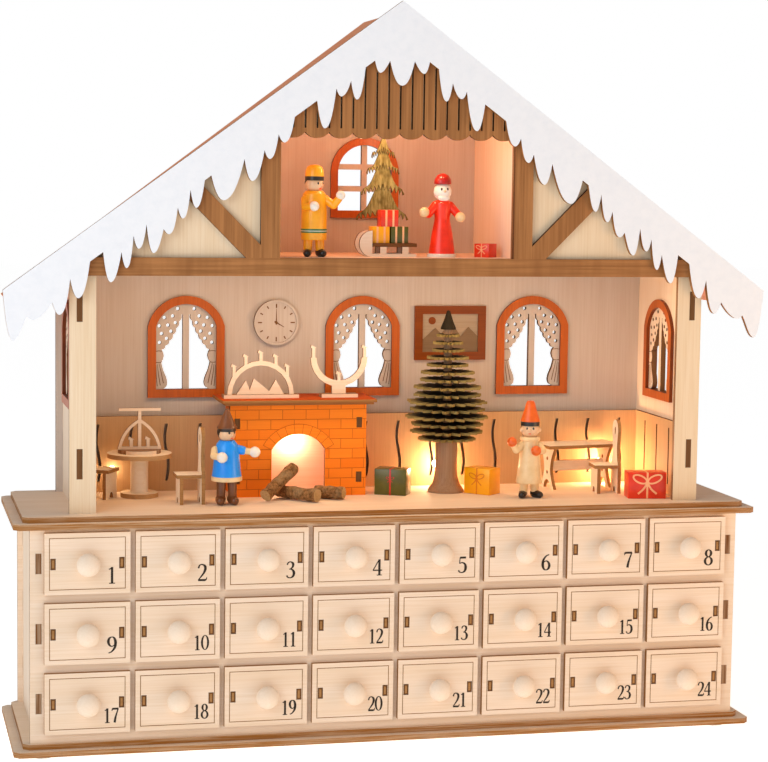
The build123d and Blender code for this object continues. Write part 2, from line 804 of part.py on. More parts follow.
def icicle(inner, outer, inner_drop, outer_drop, tip_drop):
    """Icicle with hollow sides and a blunt tip on the current line, between two cusps."""
    width = outer - inner
    half = icicle_round * width
    tip_x, tip_z = snow_point((inner + outer) / 2, tip_drop)
    start = Vector(*snow_point(inner, inner_drop))
    end = Vector(*snow_point(outer, outer_drop))
    rise = min(icicle_blunt * half, (end.Y - tip_z) / 2)
    end_half = icicle_end * half
    tip = [(tip_x - half, tip_z + rise), (tip_x - end_half, tip_z), (tip_x + end_half, tip_z),
           (tip_x + half, tip_z + rise)]
    hollow = Vector(icicle_flare * width, 0)
    ThreePointArc(start, (start + Vector(*tip[0])) / 2 + hollow, tip[0])
    Polyline(*tip)
    ThreePointArc(tip[-1], (end + Vector(*tip[-1])) / 2 - hollow, end)


with BuildPart() as snow_bargeboard:
    with BuildSketch(upright(timber_front_y)):
        with BuildLine():
            middle_tip = snow_point(0, middle_icicle_drop)
            tip_half = icicle_round * middle_icicle
            tip_side = (tip_half, middle_tip[1] + icicle_blunt * tip_half)
            Polyline(snow_point(snow_half, 0), snow_point(0, 0), middle_tip,
                     (icicle_end * tip_half, middle_tip[1]), tip_side,
                     snow_point(middle_icicle / 2, middle_cusp_drop))
            last_x = middle_icicle / 2
            last_drop = middle_cusp_drop
            for inner_place, outer_place, cusp_drop, tip_drop in icicles:
                inner_x = max(inner_place * icicle_stretch, last_x)
                outer_x = outer_place * icicle_stretch
                if inner_x - last_x > board / 2:
                    Line(snow_point(last_x, last_drop), snow_point(inner_x, last_drop))
                else:
                    inner_x = last_x
                icicle(inner_x, outer_x, last_drop, cusp_drop, tip_drop)
                last_x = outer_x
                last_drop = cusp_drop
        make_face()
        mirror(about=Plane.YZ)
    extrude(amount=board)
snow_bargeboard.part.label = "snow_bargeboard"
export_step(snow_bargeboard.part, "parts/snow_bargeboard.step")

# Wainscot: bowed slots let the light through
side_wainscot_depth = wainscot_y - panel_back_y
back_slots = int(2 * wall_inner / slot_pitch)
side_slots = int((side_wainscot_depth - slot_pitch / 2) / slot_pitch)
slot_middle = slot_low + slot_height / 2

with BuildSketch() as bowed_slot:
    with BuildLine():
        slot_edge = [(0, -slot_height / 2), (slot_bow, 0), (0, slot_height / 2)]
        Polyline(*slot_edge, *((x + slot_width, z) for x, z in reversed(slot_edge)), close=True)
    make_face()

with BuildPart() as back_wainscot:
    with BuildSketch(upright(wainscot_back_y)):
        with Locations((0, floor_z + wainscot_height / 2)):
            Rectangle(2 * wall_inner, wainscot_height)
        with Locations((0, floor_z + slot_middle)):
            with GridLocations(slot_pitch, 1, back_slots, 1):
                add(bowed_slot.sketch, mode=Mode.SUBTRACT)
    extrude(amount=thin_board)

with BuildPart() as side_wainscot:
    with BuildSketch(Plane.YZ.offset(wall_inner - thin_board)):
        side_wainscot_y = (panel_back_y + wainscot_y) / 2
        with Locations((side_wainscot_y, floor_z + wainscot_height / 2)):
            Rectangle(side_wainscot_depth, wainscot_height)
        with Locations((side_wainscot_y, floor_z + slot_middle)):
            with GridLocations(slot_pitch, 1, side_slots, 1):
                add(bowed_slot.sketch, mode=Mode.SUBTRACT)
    extrude(amount=thin_board)
    mirror(about=Plane.YZ)
save_group("wainscot", back_wainscot.part, *side_wainscot.part.solids())

# Clock and framed picture on the back wall
with BuildPart() as wall_clock:
    with BuildSketch(upright(back_wall_y)):
        with Locations((clock_x, floor_z + clock_height)):
            RegularPolygon(clock_diameter / 2, disc_sides)
    extrude(amount=thin_board)
    with BuildSketch(upright(back_wall_y - thin_board)):
        with Locations((clock_x, floor_z + clock_height)):
            RegularPolygon(clock_diameter / 2, disc_sides)
            RegularPolygon(clock_diameter / 2 - clock_rim, disc_sides, mode=Mode.SUBTRACT)
    extrude(amount=clock_rim_height)
wall_clock.part.label = "wall_clock"
export_step(wall_clock.part, "parts/wall_clock.step")

picture_middle_z = floor_z + picture_middle
view_width = picture_width - 2 * picture_frame
view_height = picture_height - 2 * picture_frame
view_corner = (picture_x - view_width / 2, back_wall_y - picture_board, picture_middle_z - view_height / 2)
picture_panel = block((view_width, picture_board, view_height), view_corner)

with BuildPart() as picture_border:
    with BuildSketch(upright(back_wall_y)):
        with Locations((picture_x, picture_middle_z)):
            Rectangle(picture_width, picture_height)
            Rectangle(view_width, view_height, mode=Mode.SUBTRACT)
    extrude(amount=thin_board)
save_group("framed_picture", picture_panel, picture_border.part)

# Fireplace: front with an arched mouth, sides tenoned into it, liner and mantel
hearth_x = hearth_share * wall_inner
hearth_front_y = wainscot_y - hearth_depth
hearth_back_y = hearth_front_y + board
hearth_left = hearth_x - hearth_width / 2
cheek_x = hearth_width / 2 - hearth_tenon_inset - board / 2
hearth_tenon_z = floor_z + (hearth_tenon_low + hearth_tenon_high) / 2
hearth_tenon_span = hearth_tenon_high - hearth_tenon_low
mantel_z = floor_z + hearth_height

with BuildSketch() as mouth:
    add(arched(mouth_half, 0, mouth_spring + mouth_rise, mouth_spring))

with BuildPart() as hearth_front:
    with BuildSketch(upright(hearth_back_y)):
        with Locations((hearth_x, floor_z + hearth_height / 2)):
            Rectangle(hearth_width, hearth_height)
        with Locations((hearth_x, floor_z)):
            add(mouth.sketch, mode=Mode.SUBTRACT)
        with Locations((hearth_x, hearth_tenon_z)):
            with GridLocations(2 * cheek_x, hearth_tenon_span, 2, 2):
                Rectangle(board + 2 * tenon_fit, hearth_tenon + 2 * tenon_fit, mode=Mode.SUBTRACT)
    extrude(amount=board)

with BuildPart() as hearth_cheeks:
    with BuildSketch(*(Plane.YZ.offset(hearth_x + side * cheek_x - board / 2) for side in (-1, 1))):
        with Locations(((hearth_back_y + wainscot_y) / 2, floor_z + hearth_height / 2)):
            Rectangle(wainscot_y - hearth_back_y, hearth_height)
        with Locations(((hearth_front_y + wainscot_y) / 2, hearth_tenon_z)):
            with GridLocations(1, hearth_tenon_span, 1, 2):
                Rectangle(hearth_depth, hearth_tenon)
    extrude(amount=board)

liner_half = cheek_x - board / 2
liner_y = wainscot_y - liner_back
hearth_liner = block((2 * liner_half, thin_board, hearth_height), (hearth_x - liner_half, liner_y, floor_z))
mantel = block((hearth_width + 2 * mantel_overhang, hearth_depth + mantel_overhang, board),
               (hearth_left - mantel_overhang, hearth_front_y - mantel_overhang, mantel_z))
save_group("fireplace", hearth_front.part, *hearth_cheeks.part.solids(), hearth_liner, mantel)


# Logs before the fireplace: two lie on the floor, one leans on them
def log_piece(start, turn, tilt, length):
    """Round log from the middle of one end."""
    level = cos(radians(tilt))
    way = (level * cos(radians(turn)), level * sin(radians(turn)), sin(radians(tilt)))
    with BuildPart() as piece:
        with BuildSketch(Plane(start, x_dir=(-sin(radians(turn)), cos(radians(turn)), 0), z_dir=way)):
            RegularPolygon(log_diameter / 2, turning_sides)
        extrude(amount=length)
    return piece.part


log_radius = log_diameter / 2
lean_start = log_radius * cos(radians(log_tilt))
lean_cross = log_radius + (log_diameter + log_gap) / cos(radians(log_tilt))
lean_run = (lean_cross - lean_start) / tan(radians(log_tilt))
cross_x = hearth_x - log_cross * mouth_half
cross_y = hearth_front_y - log_diameter
lean_x = cross_x - lean_run * cos(radians(log_turn))
lean_y = cross_y - lean_run * sin(radians(log_turn))
under_back = log_behind * log_length
under_x = cross_x - under_back * sin(radians(log_turn))
under_y = cross_y + under_back * cos(radians(log_turn))
far_x = cross_x + far_log_gap * log_diameter
leaning_log = log_piece((lean_x, lean_y, floor_z + lean_start), log_turn, log_tilt, log_length)
under_log = log_piece((under_x, under_y, floor_z + log_radius), log_turn - 90, 0, log_length)
far_log = log_piece((far_x, cross_y, floor_z + log_radius), far_log_turn, 0, far_log_share * log_length)
save_group("hearth_logs", leaning_log, under_log, far_log)

# Candle arch, crescent and pyramid: flat sawn shapes on small feet
mantel_top_z = mantel_z + board
arch_x = hearth_x + arch_shift
crescent_x = hearth_x + crescent_shift
ornament_y = hearth_front_y + hearth_depth / 3
ornament_z = mantel_top_z + ornament_base


def candle(x, z):
    """Candle with a pointed flame on the current sketch."""
    with Locations((x, z + candle_height / 2)):
        Rectangle(candle_width, candle_height)
    with Locations((x, z + candle_height)):
        Triangle(a=flame_height, b=flame_height, c=candle_width, align=(Align.CENTER, Align.MIN))


with BuildPart() as candle_arch:
    with BuildSketch(upright(ornament_y + thin_board / 2)):
        with Locations((arch_x, ornament_z)):
            RegularPolygon(arch_half, disc_sides)
            RegularPolygon(arch_half - arch_band, disc_sides, mode=Mode.SUBTRACT)
            Rectangle(2 * arch_half, arch_half, align=(Align.CENTER, Align.MAX), mode=Mode.SUBTRACT)
        for share in arch_candles:
            candle_x = share * arch_half
            candle(arch_x + candle_x, ornament_z + (arch_half ** 2 - candle_x ** 2) ** 0.5 - arch_band / 2)
        for share, flank in arch_peaks:
            with Locations((arch_x + share * arch_half, ornament_z)):
                Triangle(c=peak_foot * arch_half, a=flank * arch_half, b=flank * arch_half,
                         align=(Align.CENTER, Align.MIN))
    extrude(amount=thin_board)
arch_foot = block((2 * (arch_half + arch_stretch), ornament_foot, ornament_base),
                  (arch_x - arch_half - arch_stretch, ornament_y - ornament_foot / 2, mantel_top_z))

crescent_middle_z = ornament_z + crescent_stem + crescent_radius
horn_x = crescent_radius - crescent_band / 2

with BuildPart() as candle_crescent:
    with BuildSketch(upright(ornament_y + thin_board / 2)):
        with Locations((crescent_x, crescent_middle_z)):
            RegularPolygon(crescent_radius, disc_sides)
            RegularPolygon(crescent_radius - crescent_band, disc_sides, mode=Mode.SUBTRACT)
            Rectangle(2 * crescent_radius, crescent_radius, align=(Align.CENTER, Align.MIN),
                      mode=Mode.SUBTRACT)
        with Locations((crescent_x, ornament_z)):
            Rectangle(2 * crescent_stem, crescent_stem + crescent_band / 2, align=(Align.CENTER, Align.MIN))
        for side in (-1, 0, 1):
            middle_drop = (1 - abs(side)) * (crescent_radius - crescent_band / 2)
            candle(crescent_x + side * horn_x, crescent_middle_z - middle_drop)
    extrude(amount=thin_board)
crescent_base = block((crescent_foot, ornament_foot, ornament_base),
                      (crescent_x - crescent_foot / 2, ornament_y - ornament_foot / 2, mantel_top_z))

table_x = table_from_wall - wall_inner
table_y = wainscot_y - table_to_wainscot
table_z = floor_z + table_height
pyramid_z = table_z + ornament_base
arch_inner = pyramid_width / 2 - pyramid_band

with BuildPart() as pyramid_frame:
    with BuildSketch(upright(table_y + thin_board / 2)):
        with BuildLine():
            shoulder_z = pyramid_z + pyramid_shoulder * pyramid_arch
            arch_top_z = pyramid_z + pyramid_arch
            ThreePointArc((-pyramid_width / 2, pyramid_z), (-pyramid_width / 3, shoulder_z), (0, arch_top_z))
            ThreePointArc((0, arch_top_z), (pyramid_width / 3, shoulder_z), (pyramid_width / 2, pyramid_z))
            Line((pyramid_width / 2, pyramid_z), (-pyramid_width / 2, pyramid_z))
        make_face()
        offset(amount=-pyramid_band, mode=Mode.SUBTRACT)
        with Locations((0, pyramid_z)):
            Rectangle(pyramid_width, pyramid_band, align=(Align.CENTER, Align.MIN))
            Rectangle(rotor_post, rotor_height, align=(Align.CENTER, Align.MIN))
        with Locations((0, pyramid_z + rotor_height)):
            Rectangle(rotor_length, rotor_bar, align=(Align.CENTER, Align.MIN))
        for side in (-1, 1):
            candle(side * pyramid_candle * arch_inner, pyramid_z)
    extrude(amount=thin_board)
pyramid_foot = turned(Plane((0, table_y, 0)), (pyramid_width / 2, table_z), (pyramid_width / 2, pyramid_z),
                      sides=disc_sides)
table_side = Location((table_x, 0, 0))
save_group("candle_ornaments", candle_arch.part, arch_foot, candle_crescent.part, crescent_base,
           pyramid_frame.part.moved(table_side), pyramid_foot.moved(table_side))

# Round table
table_place = Plane((table_x, table_y, floor_z))
column_top = table_height - table_top
foot_disc = turned(table_place, (table_foot / 2, 0), (table_foot / 2, table_top), sides=disc_sides)
table_leg = turned(table_place, (table_column / 2, table_top), (table_column / 2, column_top),
                   sides=turning_sides)
table_disc = turned(table_place, (table_diameter / 2, column_top), (table_diameter / 2, table_height),
                    sides=disc_sides)
save_group("round_table", foot_disc, table_leg, table_disc)

# Chairs, each made at the origin facing +X
seat_underside = chair_seat - thin_board
leg_notch = [(-leg_notch_half, 0), (leg_notch_half, 0), (leg_notch_top, leg_notch_height),
             (-leg_notch_top, leg_notch_height)]

with BuildPart() as chair_back:
    with BuildSketch(Plane.YZ.offset(-chair_depth / 2 - thin_board)):
        with BuildLine():
            head_z = chair_top - chair_head
            waist_z = (chair_seat + head_z) / 2
            Polyline((0, 0), (chair_width / 2, 0), (chair_width / 2, chair_seat), (chair_waist, waist_z),
                     (chair_head, head_z), (chair_head / 2, chair_top), (0, chair_top), close=True)
        make_face()
        mirror(about=Plane.YZ)
        with Locations((0, head_z)):
            Rectangle(chair_hole, chair_hole, rotation=45, mode=Mode.SUBTRACT)
        Polygon(*leg_notch, align=None, mode=Mode.SUBTRACT)
    extrude(amount=thin_board)

with BuildPart() as chair_front:
    with BuildSketch(Plane.YZ.offset(chair_depth / 2 - chair_front_inset - thin_board)):
        with Locations((0, seat_underside / 2)):
            Rectangle(chair_width, seat_underside)
        Polygon(*leg_notch, align=None, mode=Mode.SUBTRACT)
    extrude(amount=thin_board)

chair_board = block((chair_depth, chair_width, thin_board),
                    (-chair_depth / 2, -chair_width / 2, seat_underside))
desk_x = wall_inner - desk_from_wall
chair_places = [
    (table_x - left_chair_gap, left_chair_back, left_chair_turn),
    (right_chair_share * wall_inner, right_chair_back, 180),
    (desk_x + desk_chair_gap, desk_chair_back, desk_chair_turn),
]
chair_pieces = []
for chair_x, chair_from_back, chair_turn in chair_places:
    place = Location((chair_x, back_wall_y - chair_from_back, floor_z), (0, 0, chair_turn))
    chair_pieces += [piece.moved(place) for piece in (chair_back.part, chair_front.part, chair_board)]
save_group("chairs", *chair_pieces)

# Writing desk, made at the origin
desk_under = desk_height - thin_board
leg_x = desk_width / 2 - desk_leg_inset

with BuildPart() as desk_legs:
    with BuildSketch(*(Plane.YZ.offset(side * leg_x - thin_board / 2) for side in (-1, 1))):
        with BuildLine():
            leg_half = desk_depth / 2 - thin_board
            waist = leg_half - desk_leg_waist
            Polyline((-leg_half, 0), (leg_half, 0), (waist, desk_under / 2), (leg_half, desk_under),
                     (-leg_half, desk_under), (-waist, desk_under / 2), close=True)
        make_face()
        notch = [(-leg_half / 2, 0), (leg_half / 2, 0), (0, desk_notch * desk_under)]
        Polygon(*notch, align=None, mode=Mode.SUBTRACT)
    extrude(amount=thin_board)

desk_board = block((desk_width, desk_depth, thin_board), (-desk_width / 2, -desk_depth / 2, desk_under))
rail_length = 2 * leg_x - thin_board
desk_stretcher = block((rail_length, thin_board, desk_rail),
                       (-rail_length / 2, -thin_board / 2, desk_under - desk_rail_drop - desk_rail))
desk_place = Location((desk_x, wainscot_y - desk_to_wainscot, floor_z), (0, 0, desk_turn))
desk_pieces = [desk_board, desk_stretcher, *desk_legs.part.solids()]
save_group("writing_desk", *(piece.moved(desk_place) for piece in desk_pieces))

# Fir tree: star-shaped rings on a dowel
tree_x = tree_share * wall_inner
tree_y = wainscot_y - tree_to_wainscot
tree_place = (tree_x, tree_y, floor_z)
ring_low = tree_foot[-1][1]
dowel_top = ring_low + len(ring_radii) * ring_pitch

with BuildPart() as tree_stem:
    add(turned(Plane(tree_place), *tree_foot, sides=turning_sides))
    with BuildSketch(Plane((tree_x, tree_y, floor_z + ring_low))):
        Rectangle(tree_dowel, tree_dowel)
    extrude(amount=dowel_top - ring_low)

tree_finial = turned(Plane(tree_place), (finial_radius, dowel_top), (finial_tip, dowel_top + finial_height),
                     sides=turning_sides)
tree_pieces = [tree_stem.part, tree_finial]
for level, ring_radius in enumerate(ring_radii):
    points = []
    for tooth in range(2 * ring_teeth):
        reach = ring_radius * (1 if tooth % 2 else ring_notch)
        angle = (tooth + level) * pi / ring_teeth
        points.append((reach * cos(angle), reach * sin(angle)))
    with BuildPart() as ring:
        with BuildSketch(Plane((tree_x, tree_y, floor_z + ring_low + level * ring_pitch))):
            Polygon(*points, align=None)
            Rectangle(tree_dowel + 2 * tree_fit, tree_dowel + 2 * tree_fit, mode=Mode.SUBTRACT)
        extrude(amount=ring_thickness)
    tree_pieces.append(ring.part)
save_group("fir_tree", *tree_pieces)


# Figures: turned bodies, heads and hats, with six-sided arms that start at the coats
def figure(at, base_z, body, head, hat, arms):
    """Standing figure from its turned outlines; an arm runs from its shoulder to its hand."""
    place = (at[0], panel_back_y + at[1], base_z)
    pieces = [turned(Plane(place), *outline, sides=turning_sides) for outline in (body, head, hat)]
    for shoulder, hand in arms:
        way = Vector(*hand) - Vector(*shoulder)
        with BuildPart() as arm:
            with BuildSketch(Plane(Vector(*place) + Vector(*shoulder), z_dir=way)):
                RegularPolygon(arm_diameter / 2, arm_sides)
            extrude(amount=way.length)
        pieces.append(arm.part)
    return pieces


blue_body = [(6.4, 0), (5.4, 13.9), (8.3, 14), (7.0, 30), (4.2, 35.5)]
blue_head = [(3.2, 35.5), (4.7, 39), (3.6, 43)]
blue_hat = [(6.0, 43), (0.6, 54)]
blue_arms = [((7.4, -0.4, 29), (17.2, -2.0, 28.7)), ((-9.8, 0, 31), (-9.8, -1.5, 20))]
cream_body = [(9.2, 0), (7.8, 28), (4.4, 34.3)]
cream_head = [(3.4, 34.3), (5.4, 39.5), (4.2, 44)]
cream_hat = [(5.8, 44), (0.8, 55.5)]
cream_arms = [((-5.1, -6.5, 26), (-7.5, -13.0, 24.5)), ((5.1, -6.5, 25), (7.5, -13.0, 22.5))]
blue_at = (blue_share * wall_inner, blue_depth)
cream_at = (cream_share * wall_inner, cream_depth)
room_pieces = figure(blue_at, floor_z, blue_body, blue_head, blue_hat, blue_arms)
room_pieces += figure(cream_at, floor_z, cream_body, cream_head, cream_hat, cream_arms)
save_group("room_figures", *room_pieces)

mustard_body = [(5.9, 0), (5.7, 9.5), (6.9, 9.6), (6.9, 33), (4.6, 36)]
mustard_head = [(3.6, 36), (5.2, 39.5), (4.6, 42.6)]
mustard_hat = [(6.2, 42.6), (4.2, 51)]
mustard_arms = [((6.1, -3.4, 30.5), (14.8, -8.0, 30)), ((-9.0, 0, 32), (-9.0, -1.5, 20))]
red_body = [(8.0, 0), (4.2, 23.3), (4.6, 30), (3.4, 31.7)]
red_head = [(2.8, 31.7), (4.7, 35), (4.2, 38)]
red_hat = [(5.0, 38), (5.0, 42), (1.6, 46.3)]
red_arms = [((-4.7, -0.7, 26), (-12.7, -3.0, 24)), ((4.7, -0.7, 26), (12.7, -3.0, 24))]
attic_pieces = figure(mustard_at, attic_z, mustard_body, mustard_head, mustard_hat, mustard_arms)
attic_pieces += figure(red_at, attic_z, red_body, red_head, red_hat, red_arms)
save_group("attic_figures", *attic_pieces)

# Gift boxes on the room's floor and in the attic
gift_corners = [
    (green_gift_share * wall_inner, green_gift),
    (tree_x + yellow_gift_gap, yellow_gift),
    (wall_inner - red_gift_from_wall, red_gift),
]
gifts = []
for gift_x, (gift_width, gift_from_front, gift_turn) in gift_corners:
    corner = (gift_x, panel_back_y + gift_from_front, floor_z)
    gifts.append(block((gift_width, gift_depth, gift_height), corner, gift_turn))
attic_gift_x = partition_x - attic_gift_gap - attic_gift_size
gifts.append(block((attic_gift_size, attic_gift_size, attic_gift_height),
                   (attic_gift_x, panel_back_y + gift_depth, attic_z)))
save_group("gift_boxes", *gifts)

# Sled with parcels
sled_y = panel_back_y + sled_at
runner_offset = (sled_width - thin_board) / 2
seat_z = attic_z + sled_height

with BuildPart() as sled_runners:
    with BuildSketch(*(upright(sled_y + side * runner_offset + thin_board / 2) for side in (-1, 1))):
        with Locations((sled_x, attic_z)):
            Rectangle(sled_length, sled_bar, align=(Align.CENTER, Align.MIN))
            with GridLocations(sled_length / 2, 1, 2, 1):
                Rectangle(2 * sled_bar, sled_height, align=(Align.CENTER, Align.MIN))
        with BuildLine():
            curl_x = sled_x - sled_length / 2
            curl_top = (curl_x, attic_z + 2 * sled_curl)
            Line(curl_top, (curl_x, attic_z))
            ThreePointArc((curl_x, attic_z), (curl_x - sled_curl, attic_z + sled_curl), curl_top)
        make_face()
    extrude(amount=thin_board)

sled_left = sled_x - sled_length / 2 + seat_gap
sled_seat = block((sled_length, sled_width, thin_board),
                  (sled_left, sled_y - sled_width / 2, seat_z))
parcel_z = seat_z + thin_board
parcel_size = (parcel_width, parcel_depth, parcel_height)
parcel_y = sled_y - parcel_depth / 2
lower_left = block(parcel_size, (sled_left, parcel_y, parcel_z))
lower_right = block(parcel_size, (sled_left + parcel_width + 2 * parcel_gap, parcel_y, parcel_z))
upper = block(parcel_size, (sled_left + parcel_width / 2, parcel_y, parcel_z + parcel_height), parcel_turn)
save_group("sled", *sled_runners.part.solids(), sled_seat, lower_left, lower_right, upper)

# Flat fir behind the sled, one notch for every tier
with BuildPart() as attic_fir:
    with BuildSketch(upright(panel_back_y + attic_fir_at)):
        with BuildLine():
            tier_height = (attic_fir_height - attic_fir_trunk) / attic_fir_tiers
            outline = [(0, attic_z), (board, attic_z), (board, attic_z + attic_fir_trunk)]
            for tier in range(attic_fir_tiers):
                tier_z = attic_z + attic_fir_trunk + tier * tier_height
                tier_half = attic_fir_half * (1 - tier / tier_end)
                outline += [(tier_half, tier_z), (tier_neck * tier_half, tier_z + tier_height)]
            outline[-1] = (0, attic_z + attic_fir_height)
            Polyline(*outline, close=True)
        make_face()
        mirror(about=Plane.YZ)
    extrude(amount=board)
attic_fir_place = Location((attic_fir_x, 0, 0))
attic_fir_part = attic_fir.part.moved(attic_fir_place)
attic_fir_part.label = "attic_fir"
export_step(attic_fir_part, "parts/attic_fir.step")

# Lamp bulbs: between wainscot slots, above the fireplace's mouth and behind the attic's planks
bulb_z = floor_z + bulb_height
attic_bulb_z = attic_top_z + bulb_diameter

with BuildPart() as led_bulbs:
    with BuildSketch(upright(wainscot_y)):
        with Locations(*((slot * slot_pitch, bulb_z) for slot in bulb_places)):
            RegularPolygon(bulb_diameter / 2, bulb_sides)
    extrude(amount=bulb_length)
    with BuildSketch(upright(liner_y)):
        with Locations((hearth_x, floor_z + mouth_spring + mouth_rise + bulb_diameter)):
            RegularPolygon(bulb_diameter / 2, bulb_sides)
    extrude(amount=bulb_length)
    with BuildSketch(upright(panel_back_y)):
        with Locations(*((side * attic_half / 2, attic_bulb_z) for side in (-1, 1))):
            RegularPolygon(bulb_diameter / 2, bulb_sides)
    extrude(amount=-bulb_length)
led_bulbs.part.label = "led_bulbs"
export_step(led_bulbs.part, "parts/led_bulbs.step")

# Battery box: a tub through the back wall, its snap-in cover and a slide switch
flange_y = house_back_y + battery_wall
cell_x = tub_x + battery_wall + battery_length / 2
switch_x = tub_x + tub_width - battery_wall - switch_bay / 2
slot_length = switch_knob + switch_travel + 2 * switch_play
plate_length = switch_knob + 2 * switch_wing
pocket_length = plate_length + switch_travel + 2 * switch_play
pocket_width = switch_width + 2 * switch_wing + 2 * switch_play
pocket_depth = switch_plate + switch_play

with BuildPart() as battery_box:
    with BuildSketch(upright(house_back_y)):
        with Locations(tub_middle):
            Rectangle(tub_width, tub_height)
    extrude(amount=battery_depth)
    with BuildSketch(upright(flange_y)):
        with Locations(tub_middle):
            Rectangle(tub_width + 2 * battery_flange, tub_height + 2 * battery_flange)
    extrude(amount=battery_wall)
    with BuildSketch(upright(flange_y)):
        with Locations((cell_x, tub_middle[1])):
            Rectangle(battery_length, battery_height)
    extrude(amount=battery_depth, mode=Mode.SUBTRACT)
    with BuildSketch(upright(flange_y)):
        with Locations((switch_x, tub_middle[1])):
            Rectangle(switch_width + 2 * switch_play, slot_length)
    extrude(amount=battery_wall, mode=Mode.SUBTRACT)
    with BuildSketch(upright(house_back_y)):
        with Locations((switch_x, tub_middle[1])):
            Rectangle(pocket_width, pocket_length)
    extrude(amount=pocket_depth, mode=Mode.SUBTRACT)
battery_box.part.label = "battery_box"
export_step(battery_box.part, "parts/battery_box.step")

with BuildPart() as battery_cover:
    with BuildSketch(upright(flange_y)):
        with Locations((cell_x, tub_middle[1])):
            Rectangle(battery_length - 2 * cover_fit, battery_height - 2 * cover_fit)
    extrude(amount=battery_wall)
battery_cover.part.label = "battery_cover"
export_step(battery_cover.part, "parts/battery_cover.step")

with BuildPart() as switch_slider:
    with BuildSketch(upright(house_back_y - switch_play / 2)):
        with Locations((switch_x, tub_middle[1] - switch_travel / 2)):
            Rectangle(switch_width + 2 * switch_wing, plate_length)
    extrude(amount=switch_plate)
    with BuildSketch(upright(house_back_y - switch_play / 2)):
        with Locations((switch_x, tub_middle[1] - switch_travel / 2)):
            Rectangle(switch_width, switch_knob)
    extrude(amount=-battery_wall - switch_reach - switch_play / 2)
switch_slider.part.label = "switch_slider"
export_step(switch_slider.part, "parts/switch_slider.step")
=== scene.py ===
import math
import bmesh
import bpy
from mathutils import Matrix, Vector, noise


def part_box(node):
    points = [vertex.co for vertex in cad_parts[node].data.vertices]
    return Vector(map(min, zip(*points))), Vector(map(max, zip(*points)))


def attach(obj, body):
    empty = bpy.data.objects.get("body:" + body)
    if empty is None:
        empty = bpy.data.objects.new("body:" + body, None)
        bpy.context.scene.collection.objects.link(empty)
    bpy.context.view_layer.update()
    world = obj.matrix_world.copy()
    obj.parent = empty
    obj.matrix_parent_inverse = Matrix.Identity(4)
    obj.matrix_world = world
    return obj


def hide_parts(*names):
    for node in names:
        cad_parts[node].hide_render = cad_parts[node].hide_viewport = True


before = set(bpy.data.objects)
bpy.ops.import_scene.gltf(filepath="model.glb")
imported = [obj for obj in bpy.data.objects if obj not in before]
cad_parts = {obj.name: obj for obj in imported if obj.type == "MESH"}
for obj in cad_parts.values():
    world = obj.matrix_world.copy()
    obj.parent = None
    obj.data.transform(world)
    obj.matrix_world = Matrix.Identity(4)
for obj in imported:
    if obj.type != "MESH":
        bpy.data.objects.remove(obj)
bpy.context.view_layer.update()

# Wooden advent calendar: a lit house, open at the front, on a chest of twenty-four drawers.
# Shapes are given in millimetres and become metres as they are made.
mm = 0.001


def node_box(name):
    """Lowest and highest corner of a CAD node in millimetres."""
    low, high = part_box(name)
    return low / mm, high / mm


thin_board = 2.0
slot_gap = 0.2           # slot past its tenon, both sides together

# Levels and faces, from the frame
floor_z = node_box("cornice_boards")[1].z
attic_z = node_box("attic_floor")[1].z
panel_back_y = node_box("house_front_panel")[1].y
back_low, back_high = node_box("house_back_wall")
back_wall_y = back_low.y
wall_outer = node_box("house_side_walls")[1].x
wall_inner = node_box("wainscot")[1].x
wainscot_y = node_box("wainscot")[1].y - thin_board
board = back_high.y - back_low.y
hearth_low, hearth_high = node_box("fireplace")
tree_low, tree_high = node_box("fir_tree")
table_low, table_high = node_box("round_table")
fir_low, fir_high = node_box("attic_fir")
fir_half = (fir_high.x - fir_low.x) / 2
fir_height = fir_high.z - fir_low.z


# Shapes
broad_share = 0.7        # share of a normal along an axis from which a face lies across it
weld_distance = 0.002


def curve_through(points, steps=6):
    """Smooth curve through points, which may carry any number of values."""
    path = []
    ends = [points[0], *points, points[-1]]
    for a, b, c, d in zip(ends, ends[1:], ends[2:], ends[3:]):
        for step in range(steps):
            t = step / steps
            path.append(tuple(
                0.5 * (2 * q + (r - p) * t + (2 * p - 5 * q + 4 * r - s) * t * t
                       + (3 * q - p - 3 * r + s) * t ** 3)
                for p, q, r, s in zip(a, b, c, d)))
    return path + [tuple(points[-1])]


def arc(x, z, radius_x, radius_z, start, end, steps=12):
    """Points on an ellipse between two angles in degrees."""
    angles = [math.radians(start + (end - start) * step / steps) for step in range(steps + 1)]
    return [(x + radius_x * math.cos(angle), z + radius_z * math.sin(angle)) for angle in angles]


def ellipse(x, z, radius_x, radius_z, steps):
    """Closed ring of points."""
    return arc(x, z, radius_x, radius_z, 0, 360, steps)[:-1]


def circle(x, z, radius, steps):
    """Closed round ring of points."""
    return ellipse(x, z, radius, radius, steps)


def rectangle(x, z, width, height):
    """Closed rectangle round its middle."""
    return [(x - width / 2, z - height / 2), (x + width / 2, z - height / 2),
            (x + width / 2, z + height / 2), (x - width / 2, z + height / 2)]


def moved(points, x, z):
    """The same points, moved."""
    return [(px + x, pz + z) for px, pz in points]


def mirrored(points):
    """The same points on the other side of the upright axis."""
    return [(-x, z) for x, z in points]


